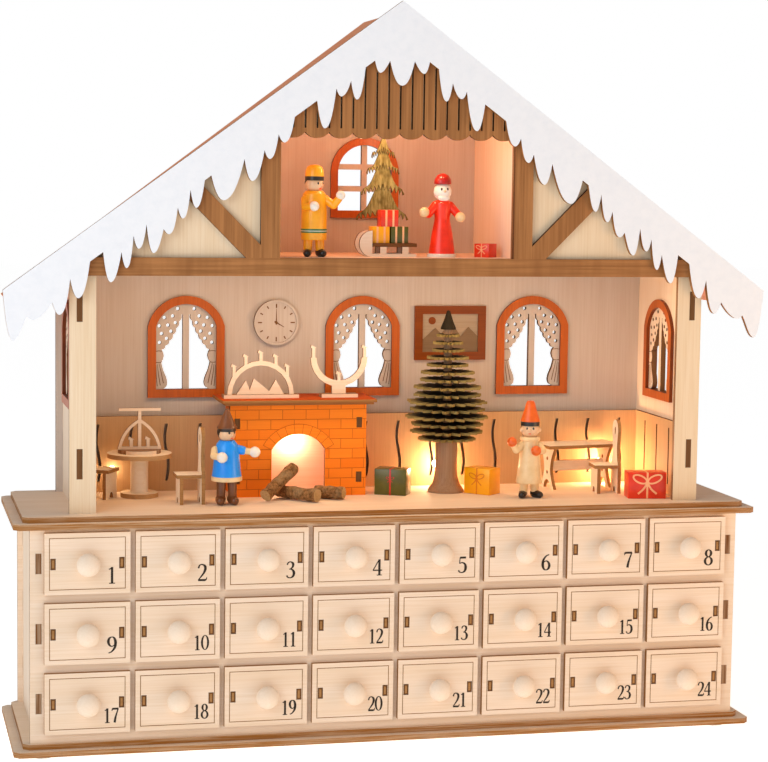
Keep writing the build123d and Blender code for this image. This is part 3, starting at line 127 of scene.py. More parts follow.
def plate(outline, thickness, holes=(), face=0, edge=1):
    """Sawn sheet in the XZ plane: its front lies on y = 0 and its back behind it."""
    shape = bmesh.new()
    edges = []
    for loop in (outline, *holes):
        verts = [shape.verts.new((x * mm, 0, z * mm)) for x, z in loop]
        edges += [shape.edges.new(pair) for pair in zip(verts, verts[1:] + verts[:1])]
    filled = bmesh.ops.triangle_fill(shape, edges=edges, use_beauty=True)["geom"]
    front = [part for part in filled if isinstance(part, bmesh.types.BMFace)]
    grown = bmesh.ops.extrude_face_region(shape, geom=front)["geom"]
    back = [part for part in grown if isinstance(part, bmesh.types.BMVert)]
    bmesh.ops.translate(shape, verts=back, vec=(0, thickness * mm, 0))
    bmesh.ops.recalc_face_normals(shape, faces=shape.faces)
    for side in shape.faces:
        side.material_index = face if abs(side.normal.y) > broad_share else edge
    return shape


def block(size, corner, face=0, edge=None, thin=None, softness=0.2):
    """Sanded board on its lowest corner; faces across the thin axis get the face finish."""
    shape = bmesh.new()
    bmesh.ops.create_cube(shape, size=1)
    bmesh.ops.scale(shape, vec=Vector(size) * mm, verts=shape.verts)
    bmesh.ops.translate(shape, vec=(Vector(corner) + Vector(size) / 2) * mm, verts=shape.verts)
    for side in shape.faces:
        broad = thin is None or abs(side.normal[thin]) > broad_share
        side.material_index = face if broad else edge
    bmesh.ops.bevel(shape, geom=shape.edges[:], offset=softness * mm, affect="EDGES", segments=2, profile=0.5,
                    material=-1)
    return shape


def turned(outline, finish=0, steps=32):
    """Lathe shape about the upright axis, from radius and height pairs."""
    shape = bmesh.new()
    verts = [shape.verts.new((radius * mm, 0, height * mm)) for radius, height in outline]
    edges = [shape.edges.new(pair) for pair in zip(verts, verts[1:])]
    bmesh.ops.spin(shape, geom=verts + edges, axis=(0, 0, 1), cent=(0, 0, 0), angle=math.tau, steps=steps,
                   use_merge=True)
    bmesh.ops.remove_doubles(shape, verts=shape.verts, dist=weld_distance * mm)
    bmesh.ops.holes_fill(shape, edges=shape.edges, sides=steps)
    bmesh.ops.recalc_face_normals(shape, faces=shape.faces)
    for side in shape.faces:
        side.material_index = finish
        side.smooth = True
    return shape


def ball(radius, at, finish, stretch=(1, 1, 1)):
    """Turned bead, stretched along the axes."""
    shape = turned(arc(0, 0, radius, radius, -90, 90, 16), finish, 32)
    bmesh.ops.scale(shape, vec=stretch, verts=shape.verts)
    bmesh.ops.translate(shape, vec=Vector(at) * mm, verts=shape.verts)
    return shape


def limb(start, end, thick, thin, finish):
    """Round-ended rod between two points, thick at its start and thin at its end."""
    way = Vector(end) - Vector(start)
    outline = arc(0, 0, thick, thick, -90, 0, 6) + arc(0, way.length, thin, thin, 0, 90, 6)
    shape = turned(outline, finish, 20)
    place = Matrix.Translation(Vector(start) * mm) @ way.to_track_quat("Z", "Y").to_matrix().to_4x4()
    bmesh.ops.transform(shape, matrix=place, verts=shape.verts)
    return shape


def ribbon(path, thickness, finish=0):
    """Flat stroke in the XZ plane through (x, z, half width) points, raised towards the front."""
    shape = bmesh.new()
    ahead = [*path[1:], path[-1]]
    behind = [path[0], *path[:-1]]
    chains = ([], [])
    for (x, z, half), (x1, z1, *_), (x0, z0, *_) in zip(path, ahead, behind):
        across = Vector((z0 - z1, x1 - x0)).normalized() * half
        for chain, side in zip(chains, (1, -1)):
            chain.append(shape.verts.new(((x + side * across.x) * mm, 0, (z + side * across.y) * mm)))
    edges = [shape.edges.new(pair) for chain in chains for pair in zip(chain, chain[1:])]
    faces = bmesh.ops.bridge_loops(shape, edges=edges)["faces"]
    grown = bmesh.ops.extrude_face_region(shape, geom=faces)["geom"]
    front = [part for part in grown if isinstance(part, bmesh.types.BMVert)]
    bmesh.ops.translate(shape, verts=front, vec=(0, -thickness * mm, 0))
    bmesh.ops.recalc_face_normals(shape, faces=shape.faces)
    for side in shape.faces:
        side.material_index = finish
    return shape


def placed(shape, at, turn=0, tilt=0):
    """The shape, tilted about X, turned about Z and moved."""
    place = Matrix.Translation(Vector(at) * mm) @ Matrix.Rotation(math.radians(turn), 4, "Z")
    place = place @ Matrix.Rotation(math.radians(tilt), 4, "X")
    bmesh.ops.transform(shape, matrix=place, verts=shape.verts)
    return shape


def sideways(shape, x, way=1):
    """A plate turned into the YZ plane: its x becomes y, and its thickness grows from x, either way."""
    place = Matrix(((0, way, 0, x * mm), (1, 0, 0, 0), (0, 0, 1, 0), (0, 0, 0, 1)))
    bmesh.ops.transform(shape, matrix=place, verts=shape.verts)
    bmesh.ops.recalc_face_normals(shape, faces=shape.faces)
    return shape


def all_placed(shapes, at, turn=0):
    """Several shapes, turned about Z and moved together."""
    return [placed(shape, at, turn) for shape in shapes]


sharp_angle = 32         # edges that bend more than this stay crisp


def add_piece(name, shapes, finishes, node, body="house"):
    """One piece from several shapes, riding on a body and standing for a CAD node."""
    mesh = bpy.data.meshes.new(name)
    whole = bmesh.new()
    for shape in shapes:
        shape.to_mesh(mesh)
        shape.free()
        whole.from_mesh(mesh)
    whole.to_mesh(mesh)
    whole.free()
    for finish in finishes:
        mesh.materials.append(finish)
    mesh.set_sharp_from_angle(angle=math.radians(sharp_angle))
    piece = bpy.data.objects.new(name, mesh)
    bpy.context.scene.collection.objects.link(piece)
    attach(piece, body)
    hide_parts(node)


# Finishes
facing_start = 0.6       # share of a normal along an axis from which a face begins to look that way
facing_end = 0.75


def linear(colour):
    """sRGB hex colour as linear red, green, blue and alpha."""
    parts = [int(colour[at:at + 2], 16) / 255 for at in (1, 3, 5)]
    return (*(part / 12.92 if part <= 0.04045 else ((part + 0.055) / 1.055) ** 2.4 for part in parts), 1.0)


def add_node(tree, kind, inputs, **settings):
    """Add a node with its settings, input values and links."""
    node = tree.nodes.new(kind)
    for name, value in settings.items():
        setattr(node, name, value)
    for socket, value in inputs.items():
        if isinstance(value, bpy.types.NodeSocket):
            tree.links.new(value, node.inputs[socket])
        else:
            node.inputs[socket].default_value = value
    return node


def new_finish(name, roughness, ior=1.5, coat=0.0, gloss=0.2):
    """Material with its shader and its object coordinates."""
    finish = bpy.data.materials.new(name)
    finish.use_nodes = True
    tree = finish.node_tree
    shader = tree.nodes["Principled BSDF"]
    shader.inputs["Roughness"].default_value = roughness
    shader.inputs["IOR"].default_value = ior
    shader.inputs["Specular IOR Level"].default_value = gloss
    shader.inputs["Coat Weight"].default_value = coat
    shader.inputs["Coat Roughness"].default_value = 0.2
    coords = add_node(tree, "ShaderNodeTexCoord", {})
    return finish, tree, shader, coords


def grain(tree, coords, sizes, detail=4.0):
    """Wood or paint pattern with streak sizes in millimetres along x, y and z."""
    scale = tuple(1 / (size * mm) for size in sizes)
    stretched = add_node(tree, "ShaderNodeMapping", {"Vector": coords.outputs["Object"], "Scale": scale})
    pattern = add_node(tree, "ShaderNodeTexNoise", {"Vector": stretched.outputs[0], "Scale": 1.0,
                                                    "Detail": detail, "Roughness": 0.6})
    return pattern.outputs["Fac"]


def tinted(tree, pattern, first, second, start=0.0, end=1.0, most=1.0):
    """Colour that passes from one tint to another, up to a share, as a pattern rises from start to end."""
    share = add_node(tree, "ShaderNodeMapRange", {0: pattern, 1: start, 2: end, 3: 0.0, 4: most})
    first, second = (linear(tint) if isinstance(tint, str) else tint for tint in (first, second))
    mix = add_node(tree, "ShaderNodeMix", {0: share.outputs[0], 6: first, 7: second}, data_type="RGBA")
    return mix.outputs[2]


def tinted_by_side(tree, coords, axis, others, facing):
    """One tint on faces that look along an axis and another on the rest.

    The axis "side" means X near the side walls and Y elsewhere.
    """
    normal = add_node(tree, "ShaderNodeSeparateXYZ", {0: coords.outputs["Normal"]})
    look = normal.outputs["Y" if axis == "side" else axis]
    if axis == "side":
        place = add_node(tree, "ShaderNodeSeparateXYZ", {0: coords.outputs["Object"]})
        out = add_node(tree, "ShaderNodeMath", {0: place.outputs["X"]}, operation="ABSOLUTE")
        beside = add_node(tree, "ShaderNodeMath", {0: out.outputs[0], 1: (wall_inner - board) * mm},
                          operation="GREATER_THAN")
        chosen = add_node(tree, "ShaderNodeMix", {0: beside.outputs[0], 2: look, 3: normal.outputs["X"]})
        look = chosen.outputs[0]
    size = add_node(tree, "ShaderNodeMath", {0: look}, operation="ABSOLUTE")
    return tinted(tree, size.outputs[0], others, facing, facing_start, facing_end)


def dress(tree, shader, colour, relief, depth, strength=0.5):
    """Give a finish its colour and the relief of a pattern, with its depth in millimetres."""
    bump = add_node(tree, "ShaderNodeBump", {"Height": relief, "Distance": depth * mm, "Strength": strength})
    tree.links.new(bump.outputs[0], shader.inputs["Normal"])
    tree.links.new(colour, shader.inputs["Base Color"])


streak_width = 0.9
streak_length = 45.0
band_width = 11.0
band_length = 160.0
veneer = 0.7
veneer_run = 30.0


def wood(name, pale, streak, edge=None, axis="Y", along=0, roughness=0.62, coat=0.0, contrast=1.0):
    """Basswood, bare or stained: fine streaks along the grain over broad soft bands.

    With a tint for the edge, faces that don't look along the axis are browned by the laser. A streak is about
    0.9 mm wide and 45 mm long, drawn coarse enough to show at this size.
    """
    finish, tree, shader, coords = new_finish(name, roughness, coat=coat)
    fine = grain(tree, coords, [streak_length if way == along else streak_width for way in range(3)])
    broad = grain(tree, coords, [band_length if way == along else band_width for way in range(3)], 2.0)
    colour = tinted(tree, fine, pale, streak, 0.42, 0.75, 0.75 * contrast)
    colour = tinted(tree, broad, colour, streak, 0.3, 0.7, 0.45 * contrast)
    if edge:
        veneers = grain(tree, coords, [veneer if letter == axis else veneer_run for letter in "XYZ"])
        burnt = tinted(tree, veneers, edge, streak, 0.4, 0.65, 0.4)
        colour = tinted_by_side(tree, coords, axis, burnt, colour)
    dress(tree, shader, colour, fine, 0.12)
    return finish


def lacquer(name, colour, shade):
    """Glossy spirit lacquer brushed on wood: a clear coat over colour that thins a little in places."""
    finish, tree, shader, coords = new_finish(name, 0.32, coat=0.25, gloss=0.4)
    cloud = grain(tree, coords, (6.0, 6.0, 6.0), 3.0)
    lathe_marks = grain(tree, coords, (8.0, 8.0, 0.7), 2.0)
    dress(tree, shader, tinted(tree, cloud, colour, shade, 0.35, 0.75), lathe_marks, 0.06, 0.4)
    return finish


basswood = ("#F3DEC8", "#E6CAA8")
scorched = "#77491F"
# Bare sheets: pale, matt and faintly streaked, with edges that the laser left dark
ply_front = wood("basswood_ply_front", *basswood, scorched, "Y", 0)
ply_back = wood("basswood_ply_back", "#F1DCBE", "#E0C298", scorched, "Y", 2)
ply_flat = wood("basswood_ply_flat", *basswood, "#9C6428", "Z", 0)
ply_side = wood("basswood_ply_side", *basswood, scorched, "X", 2)
# Bare faces, pale and matt; their edges have a finish of their own
ply_face = wood("basswood_ply_face", *basswood)
ply_upright = wood("basswood_ply_upright", *basswood, along=2)
# The room's plywood is greyer and darker than the other sheets: painted shade of the room's inside
room_ply = wood("room_ply_painted_shade", "#C9BDB2", "#BAA897", along=2)
furniture_ply = wood("sanded_furniture_ply", "#FBEBD4", "#F0DAB8")
# Sawn and engraved by the laser: brown char, rougher than the sheet
burnt_edge = wood("laser_burnt_edge", "#7A5230", "#573A1E", along=2, roughness=0.8)
table_edge = wood("sanded_table_edge", "#C9A070", "#B48654", roughness=0.7)
groove_brown = wood("laser_groove", "#B08250", "#95693A", roughness=0.8)
brown_edge = wood("sawn_brown_edge", "#A9743E", "#82562C", roughness=0.75)
# Sanded beech: smoother and more even than the sheets
knob_wood = wood("sanded_beech_knob", "#F4E1CB", "#E9D1B4", along=1, roughness=0.5, contrast=0.6)
# Printing ink: nearly black, with the grain faintly in it
numeral_ink = wood("printed_numeral_ink", "#3A3129", "#2A231D", roughness=0.7)
# Wiped stains: brown tints that let the streaks through, a little glossy on the frames
red_stain = wood("red_brown_stain_frame", "#C0601C", "#9C4812", "#5E2A10", "side", 2, 0.45, 0.1)
wainscot_stain = wood("brown_stain_wainscot", "#CBA478", "#AE885E", along=2, roughness=0.6, contrast=0.6)
slot_stain = wood("brown_stain_slot", "#6E4826", "#4E3018", along=2, roughness=0.8)
picture_stain = wood("dark_red_brown_picture_frame", "#85410A", "#6E3208", roughness=0.45, coat=0.1)
picture_board = wood("tan_picture_board", "#AC9A84", "#9B856B", roughness=0.65)
picture_shade = wood("brown_picture_relief", "#856E55", "#71593F", roughness=0.7)


def timber_stain():
    """Brown stain wiped on plywood: the grain runs along the beam, and upwards on posts and planks."""
    finish, tree, shader, coords = new_finish("brown_stain_timber", 0.62)
    level = grain(tree, coords, (60.0, 1.2, 1.2))
    upright = grain(tree, coords, (1.2, 1.2, 60.0))
    bands = grain(tree, coords, (9.0, 9.0, 70.0), 2.0)
    place = add_node(tree, "ShaderNodeSeparateXYZ", {0: coords.outputs["Object"]})
    above = add_node(tree, "ShaderNodeMath", {0: place.outputs["Z"], 1: attic_z * mm},
                     operation="GREATER_THAN")
    streak = add_node(tree, "ShaderNodeMix", {0: above.outputs[0], 2: level, 3: upright}).outputs[0]
    colour = tinted(tree, streak, "#B27A48", "#8A5A30", 0.35, 0.75)
    colour = tinted(tree, bands, colour, "#7E5029", 0.4, 0.7, 0.5)
    dress(tree, shader, tinted_by_side(tree, coords, "Y", "#5A3A1E", colour), streak, 0.15)
    return finish


def layered(name, roughness, ground, layers, depth, strength=0.5, ior=1.5, gloss=0.2):
    """Ground tint under layers, each with its pattern's sizes and detail, its tint, start, end and most.

    The first layer's pattern is also the relief.
    """
    finish, tree, shader, coords = new_finish(name, roughness, ior, gloss=gloss)
    patterns = [grain(tree, coords, *layer[:2]) for layer in layers]
    colour = ground
    for pattern, layer in zip(patterns, layers):
        colour = tinted(tree, pattern, colour, *layer[2:])
    dress(tree, shader, colour, patterns[0], depth, strength)
    return finish


def roof_paint():
    """Terracotta wash on the roof boards, with their front and back edges browned."""
    finish, tree, shader, coords = new_finish("terracotta_roof_wash", 0.6)
    streak = grain(tree, coords, (4.0, 60.0, 4.0))
    colour = tinted(tree, streak, "#FFA878", "#F69868", 0.35, 0.7)
    dress(tree, shader, tinted_by_side(tree, coords, "Y", colour, "#D0895C"), streak, 0.12)
    return finish


brick_length = 13.4
brick_row = 5.6
brick_joint = 0.2


def brick_paint():
    """Orange stain on plywood with the brick joints engraved by a laser as thin dark lines."""
    finish, tree, shader, coords = new_finish("orange_brick_stain", 0.55)
    place = add_node(tree, "ShaderNodeSeparateXYZ", {0: coords.outputs["Object"]})
    normal = add_node(tree, "ShaderNodeSeparateXYZ", {0: coords.outputs["Normal"]})
    slant = add_node(tree, "ShaderNodeMath", {0: normal.outputs["X"]}, operation="ABSOLUTE")
    cheek = add_node(tree, "ShaderNodeMapRange", {0: slant.outputs[0], 1: facing_start, 2: facing_end})
    across = add_node(tree, "ShaderNodeMix", {0: cheek.outputs[0], 2: place.outputs["X"],
                                              3: place.outputs["Y"]})
    flat = add_node(tree, "ShaderNodeCombineXYZ", {0: across.outputs[0], 1: place.outputs["Z"]})
    joints = add_node(tree, "ShaderNodeTexBrick", {
        "Vector": flat.outputs[0], "Scale": 1.0, "Brick Width": brick_length * mm,
        "Row Height": brick_row * mm, "Mortar Size": brick_joint * mm, "Mortar Smooth": 0.3,
        "Color1": linear("#FF8C1E"), "Color2": linear("#F67E12"), "Mortar": linear("#C8620E")}, offset=0.5)
    streak = grain(tree, coords, (30.0, 30.0, 1.0))
    colour = tinted(tree, streak, joints.outputs["Color"], "#EC7410", 0.4, 0.8, 0.35)
    deep = add_node(tree, "ShaderNodeMath", {0: 1.0, 1: joints.outputs["Fac"]}, operation="SUBTRACT")
    dress(tree, shader, colour, deep.outputs[0], 0.25, 0.8)
    return finish


def glowing_glass():
    """Lamp with a warm diode inside clear epoxy: bright all over, with a faint cloud."""
    finish, tree, shader, coords = new_finish("warm_diode_epoxy", 0.1)
    colour = tinted(tree, grain(tree, coords, (2.0, 2.0, 2.0), 1.0), "#FFF4DC", "#FFE3B0")
    tree.links.new(colour, shader.inputs["Base Color"])
    tree.links.new(colour, shader.inputs["Emission Color"])
    shader.inputs["Emission Strength"].default_value = 14.0
    return finish


timber = timber_stain()
# White emulsion on plywood, almost even; the small pits of the roller show only at a slant
snow = layered("white_snow_paint", 0.7, "#F0F4F9", [((4.0, 4.0, 4.0), 5.0, "#EBF0F6", 0.4, 0.7)], 0.06)
terracotta = roof_paint()
brick = brick_paint()
# Dry twig bark: small cracks and lichen-grey patches
twig_bark = layered("dry_twig_bark", 0.85, "#55381F", [
    ((1.6, 1.6, 1.6), 8.0, "#A67A4A", 0.35, 0.65),
    ((7.0, 7.0, 7.0), 3.0, "#A08A66", 0.5, 0.7, 0.6)], 0.5, 0.9)
lamp_glass = glowing_glass()
# Moulded plastic with a fine spark-eroded texture
abs_black = layered("black_abs", 0.45, "#17181A", [((0.5, 0.5, 0.5), 2.0, "#232427")], 0.05,
                    ior=1.53, gloss=0.5)
# Pressed felt pads: soft grey fibres
grey_felt = layered("pressed_felt", 0.95, "#A8A69F", [((0.6, 0.6, 0.6), 6.0, "#CBC9C2")], 0.3, 0.8)
# Stained, dyed and cut wood of the hearth and the firs: mostly matt tints that let the streaks through
mantel_stain = wood("terracotta_mantel_stain", "#BE4E08", "#9C3E04", roughness=0.8)
twig_end = wood("cut_twig_end", "#C9A878", "#9C7A4E", along=1, roughness=0.8)
olive_face = wood("olive_stain_needles", "#2A200C", "#181206", roughness=0.7)
# The rings' edges are olive stain painted pale yellow tan: a painted highlight where light catches them
olive_edge_painted_highlight = wood("olive_needle_edge_painted_highlight", "#A88E52", "#604E24", roughness=0.75)
trunk_stain = wood("brown_trunk", "#B08A68", "#8E6A4C", along=2, roughness=0.55, coat=0.1)
# Olive wash sprayed on the sawn fir: pale streaks run down the boughs over a darker ground
fir_light = layered("olive_wash_fir", 0.7, "#6E6230", [
    ((1.1, 1.1, 7.0), 4.0, "#A3975E", 0.35, 0.65),
    ((5.0, 5.0, 7.0), 2.0, "#57491F", 0.5, 0.7, 0.7)], 0.1)
# Dark brown of the laser's edges and the trunk, also drawn as lines along each tier's fringe, where it is
# painted shade
fir_edge_and_fringe_shade = wood("dark_fir_laser_edge_and_painted_fringe_shade", "#5A4620", "#3A2C10", along=2, roughness=0.8)
brick_plain = wood("orange_arch_stain", "#FF8A1A", "#F27A10", roughness=0.55)
joint_stain = wood("engraved_brick_joint", "#C8620E", "#B4540A", roughness=0.7)

# CAD nodes that stay, by their finish
node_finishes = [
    (ply_flat, ["plinth_boards", "cornice_boards", "drawer_shelves", "attic_floor"]),
    (ply_front, ["base_face_frame", "base_back_panel", "candle_ornaments"]),
    (ply_side, ["base_end_panels", "drawer_dividers", "attic_partitions"]),
    (ply_back, ["house_front_panel"]),
    (grey_felt, ["feet"]),
    (terracotta, ["roof_panels"]),
    (timber, ["timber_frame"]),
    (red_stain, ["window_frames"]),
    (abs_black, ["battery_box", "battery_cover", "switch_slider"]),
]
for finish, node_names in node_finishes:
    for node_name in node_names:
        node_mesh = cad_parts[node_name].data
        node_mesh.materials.clear()
        node_mesh.materials.append(finish)


# Numerals: strokes through (x, z, half width) points in a cell one unit tall, straight between two points and
# curved through more
six = [(0.45, 0.95, 0.022), (0.29, 0.87, 0.03), (0.14, 0.64, 0.05), (0.1, 0.34, 0.06), (0.16, 0.1, 0.045),
       (0.28, 0.02, 0.022), (0.41, 0.1, 0.045), (0.46, 0.29, 0.058), (0.4, 0.49, 0.042), (0.28, 0.57, 0.022),
       (0.16, 0.49, 0.022), (0.11, 0.38, 0.02)]
digit_strokes = {
    "1": [[(0.28, 0.96, 0.05), (0.28, 0.02, 0.05)], [(0.13, 0.02, 0.02), (0.43, 0.02, 0.02)],
          [(0.28, 0.95, 0.02), (0.21, 0.87, 0.025), (0.12, 0.83, 0.02)]],
    "2": [[(0.09, 0.74, 0.035), (0.14, 0.9, 0.03), (0.27, 0.96, 0.024), (0.41, 0.87, 0.05),
           (0.44, 0.7, 0.056), (0.36, 0.46, 0.042), (0.2, 0.22, 0.028), (0.08, 0.05, 0.02)],
          [(0.07, 0.045, 0.045), (0.25, 0.045, 0.045), (0.42, 0.045, 0.045), (0.49, 0.1, 0.025),
           (0.51, 0.2, 0.015)]],
    "3": [[(0.1, 0.79, 0.032), (0.16, 0.92, 0.028), (0.28, 0.96, 0.024), (0.4, 0.86, 0.05),
           (0.39, 0.68, 0.045), (0.3, 0.57, 0.024), (0.2, 0.53, 0.018)],
          [(0.22, 0.535, 0.018), (0.36, 0.5, 0.035), (0.45, 0.32, 0.06), (0.41, 0.12, 0.046),
           (0.27, 0.02, 0.024), (0.13, 0.06, 0.028), (0.08, 0.16, 0.036)]],
    "4": [[(0.37, 0.95, 0.022), (0.06, 0.33, 0.022)], [(0.04, 0.31, 0.026), (0.53, 0.31, 0.026)],
          [(0.385, 0.96, 0.05), (0.385, 0.02, 0.05)], [(0.25, 0.02, 0.018), (0.52, 0.02, 0.018)]],
    "5": [[(0.15, 0.92, 0.045), (0.46, 0.92, 0.045)], [(0.15, 0.94, 0.02), (0.12, 0.56, 0.02)],
          [(0.12, 0.56, 0.02), (0.26, 0.62, 0.026), (0.41, 0.52, 0.046), (0.45, 0.32, 0.06),
           (0.4, 0.11, 0.046), (0.26, 0.02, 0.024), (0.12, 0.06, 0.028), (0.07, 0.16, 0.035)]],
    "6": [six],
    "7": [[(0.08, 0.78, 0.018), (0.1, 0.88, 0.03), (0.16, 0.92, 0.045), (0.5, 0.92, 0.045)],
          [(0.49, 0.93, 0.025), (0.38, 0.6, 0.036), (0.29, 0.25, 0.052), (0.26, 0.01, 0.056)]],
    "9": [[(0.56 - x, 0.98 - z, half) for x, z, half in six]],
}
# Round digits: rings by their middle and radii, thick at the sides and thin at top and bottom
digit_rings = {"0": [(0.28, 0.49, 0.2, 0.47)], "8": [(0.28, 0.745, 0.145, 0.215), (0.28, 0.265, 0.19, 0.25)]}
ring_thick = 0.07
ring_thin = 0.028
digit_step = 0.5         # from one digit to the next, as a share of its height
single_height = 9.2      # numbers of one digit are printed larger and wider than pairs
single_width = 1.15
single_right = 7.4       # from the front's right edge
pair_height = 8.2
pair_right = 6.2
numeral_low = 5.3        # from the front's lower edge
numeral_weight = 1.35    # stroke widths of a bold face
ink_height = 0.06


def numeral(number, edge_x, z):
    """Printed number left of the front's right edge, standing on z, in front of y = 0."""
    shapes = []
    text = str(number)
    tall = pair_height if number > 9 else single_height
    wide = tall if number > 9 else single_width * tall
    left_x = edge_x - (pair_right if number > 9 else single_right) - len(text) * digit_step * wide
    for place, digit in enumerate(text):
        x = left_x + place * digit_step * wide
        for stroke in digit_strokes.get(digit, ()):
            line = curve_through(stroke) if len(stroke) > 2 else stroke
            path = [(x + px * wide, z + pz * tall, half * numeral_weight * tall) for px, pz, half in line]
            shapes.append(ribbon(path, ink_height, 3))
        for ring_x, ring_z, radius_x, radius_z in digit_rings.get(digit, ()):
            radii = [(radius_x + grow * ring_thick, radius_z + grow * ring_thin) for grow in (1, -1)]
            rims = [ellipse(ring_x, ring_z, *pair, 28) for pair in radii]
            outer, inner = [[(x + px * wide, z + pz * tall) for px, pz in rim] for rim in rims]
            shapes.append(placed(plate(outer, ink_height, [inner], 3, 3), (0, -ink_height, 0)))
    return shapes


# Drawers: grooved front, tenoned box and turned knob
groove_inset = 2.5
groove_width = 0.42
groove_depth = 0.25
tenon_width = 2.5
tenon_height = 5.8
tenon_play = 0.3
tenon_sink = 0.15        # end of a tenon behind the front's face
core_sink = 0.1          # its tan core, a little before the burnt end
core_board = 0.2
core_width = 0.45        # as a share of the tenon
core_height = 0.72
knob_reach = 9.0
box_inset = 3.3          # from the front's edge to the outside of the box
box_low = 2.2
box_height = 27.0
knob_outline = [(0, 0), (3.6, 0), (3.5, 0.4), (3.7, 1.2), (4.6, 2.9), (5.7, 4.2), (6.3, 4.9),
                *arc(0, 4.1, 6.5, 4.9, 15, 90, 14)]


def drawer(name, number):
    """Drawer in place of its CAD node, with its number."""
    low, high = node_box(name)
    width = high.x - low.x
    height = high.z - low.z
    middle = (low.x + high.x) / 2
    face_y = low.y + knob_reach
    depth = high.y - face_y
    tenon_x = width / 2 - box_inset - tenon_width / 2
    slots = [rectangle(side * tenon_x, height / 2, tenon_width + tenon_play, tenon_height + tenon_play)
             for side in (-1, 1)]
    full = rectangle(0, height / 2, width, height)
    groove_out = rectangle(0, height / 2, width - 2 * groove_inset, height - 2 * groove_inset)
    inside = 2 * (groove_inset + groove_width)
    groove_in = rectangle(0, height / 2, width - inside, height - inside)
    floor_ring = plate(groove_out, board - groove_depth, [groove_in], 4, 4)
    shapes = [plate(full, board, [groove_out], 0, 4), plate(groove_in, board, slots),
              placed(floor_ring, (0, groove_depth, 0))]
    for side in (-1, 1):
        edge_x = side * tenon_x - tenon_width / 2
        tenon_corner = (edge_x, tenon_sink, (height - tenon_height) / 2)
        shapes.append(block((tenon_width, board, tenon_height), tenon_corner, 1))
        core = rectangle(side * tenon_x, height / 2, core_width * tenon_width, core_height * tenon_height)
        shapes.append(placed(plate(core, core_board, (), 4, 4), (0, core_sink, 0)))
        shapes.append(block((tenon_width, depth - board, box_height), (edge_x, board, box_low), 0, 1, 0))
    inner = 2 * tenon_x - tenon_width
    back_corner = (-inner / 2, depth - tenon_width, box_low)
    shapes.append(block((inner, tenon_width, box_height), back_corner, 0, 1, 1))
    bottom_size = (inner, depth - board - tenon_width, tenon_width)
    shapes.append(block(bottom_size, (-inner / 2, board, box_low), 0, 1, 2))
    shapes.append(placed(turned(knob_outline, 2), (0, 0, height / 2), 0, 90))
    shapes += numeral(number, width / 2, numeral_low)
    shapes = all_placed(shapes, (middle, face_y, low.z))
    finishes = [ply_face, burnt_edge, knob_wood, numeral_ink, groove_brown]
    add_piece(f"{name}_dressed", shapes, finishes, name, name)


for number in range(1, 25):
    drawer(f"drawer_{number:02d}", number)


# Snow along the roof edge: icicles right of the middle by their inner edge, outer edge, drop at the outer
# edge and drop of the tip, under the sloping upper edge
snow_low, snow_high = node_box("snow_bargeboard")
snow_pitch = 36.2
snow_slope = math.tan(math.radians(snow_pitch))
icicles = [(-6.8, 6.8, 27.0, 40.0), (6.8, 15.1, 21.0, 30.0), (20.2, 28.1, 22.5, 35.0),
           (28.1, 36.0, 21.0, 27.5), (36.0, 46.4, 20.0, 38.0), (58.4, 67.0, 23.0, 30.0),
           (67.0, 74.5, 26.0, 33.0), (74.5, 85.2, 23.0, 38.0), (85.2, 102.8, 19.0, 37.5),
           (106.3, 113.8, 18.5, 30.5), (113.8, 120.5, 23.0, 31.0),
           (120.5, 127.9, 29.0, 34.0), (127.9, 136.9, 20.0, 38.0), (136.9, 143.7, 21.0, 30.0),
           (143.7, 150.0, 25.0, 35.5), (150.0, 159.6, 18.0, 37.0), (166.4, 176.7, 19.5, 33.0),
           (176.7, 186.0, 25.0, 34.5), (186.0, 199.0, 23.0, 28.0), (199.0, 211.4, 0.0, 30.5)]
first_drop = 27.0        # at the inner edge of the first icicle, which spans the ridge
icicle_steps = 14
icicle_fullness = 2.3    # two gives a parabola, more gives a rounder tip


def snow_edge():
    """Lower edge of the snow from the middle to the eaves."""
    edge = []
    drop = first_drop
    for inner, outer, next_drop, tip in icicles:
        for step in range(icicle_steps + 1):
            share = step / icicle_steps
            straight = drop + (next_drop - drop) * share
            swell = 1 - abs(2 * share - 1) ** icicle_fullness
            x = inner + (outer - inner) * share
            lean = max(x, outer) if inner < 0 else x
            if x >= 0 and (not edge or x > edge[-1][0] + 0.01):
                edge.append((x, snow_high.z - lean * snow_slope - straight - (tip - straight) * swell))
        drop = next_drop
    return edge


snow_side = snow_edge()
snow_outline = [*snow_side, (0, snow_high.z), *reversed(mirrored(snow_side[1:]))]
snow_sheet = placed(plate(snow_outline, snow_high.y - snow_low.y), (0, snow_low.y, 0))
add_piece("painted_snow", [snow_sheet], [snow, brown_edge], "snow_bargeboard")

# Wainscot: thin boards with swaying slits for the light
slit_pitch = 19.4
slit_low = 6.0
slit_height = 32.5
slit_half = 0.8
slit_sway = 1.1
slit_steps = 16
back_slits = 17
side_slits = 3
slit_offset = 1.8        # the CAD's bowed slots lie right of their grid
wainscot_low, wainscot_high = node_box("wainscot")


def slit(x, sway):
    """Upright slit that sways to one side and the other."""
    shares = [step / slit_steps for step in range(slit_steps + 1)]
    heights = [floor_z + slit_low + slit_height * share for share in shares]
    middles = [x + sway * math.sin(math.tau * share) for share in shares]
    left = [(middle - slit_half, z) for middle, z in zip(middles, heights)]
    right = [(middle + slit_half, z) for middle, z in zip(middles, heights)]
    return [*left, *reversed(right)]


def slit_places(count, middle):
    """Evenly spaced slits round a middle."""
    return [middle + slit_offset + slit_pitch * (place - (count - 1) / 2) for place in range(count)]


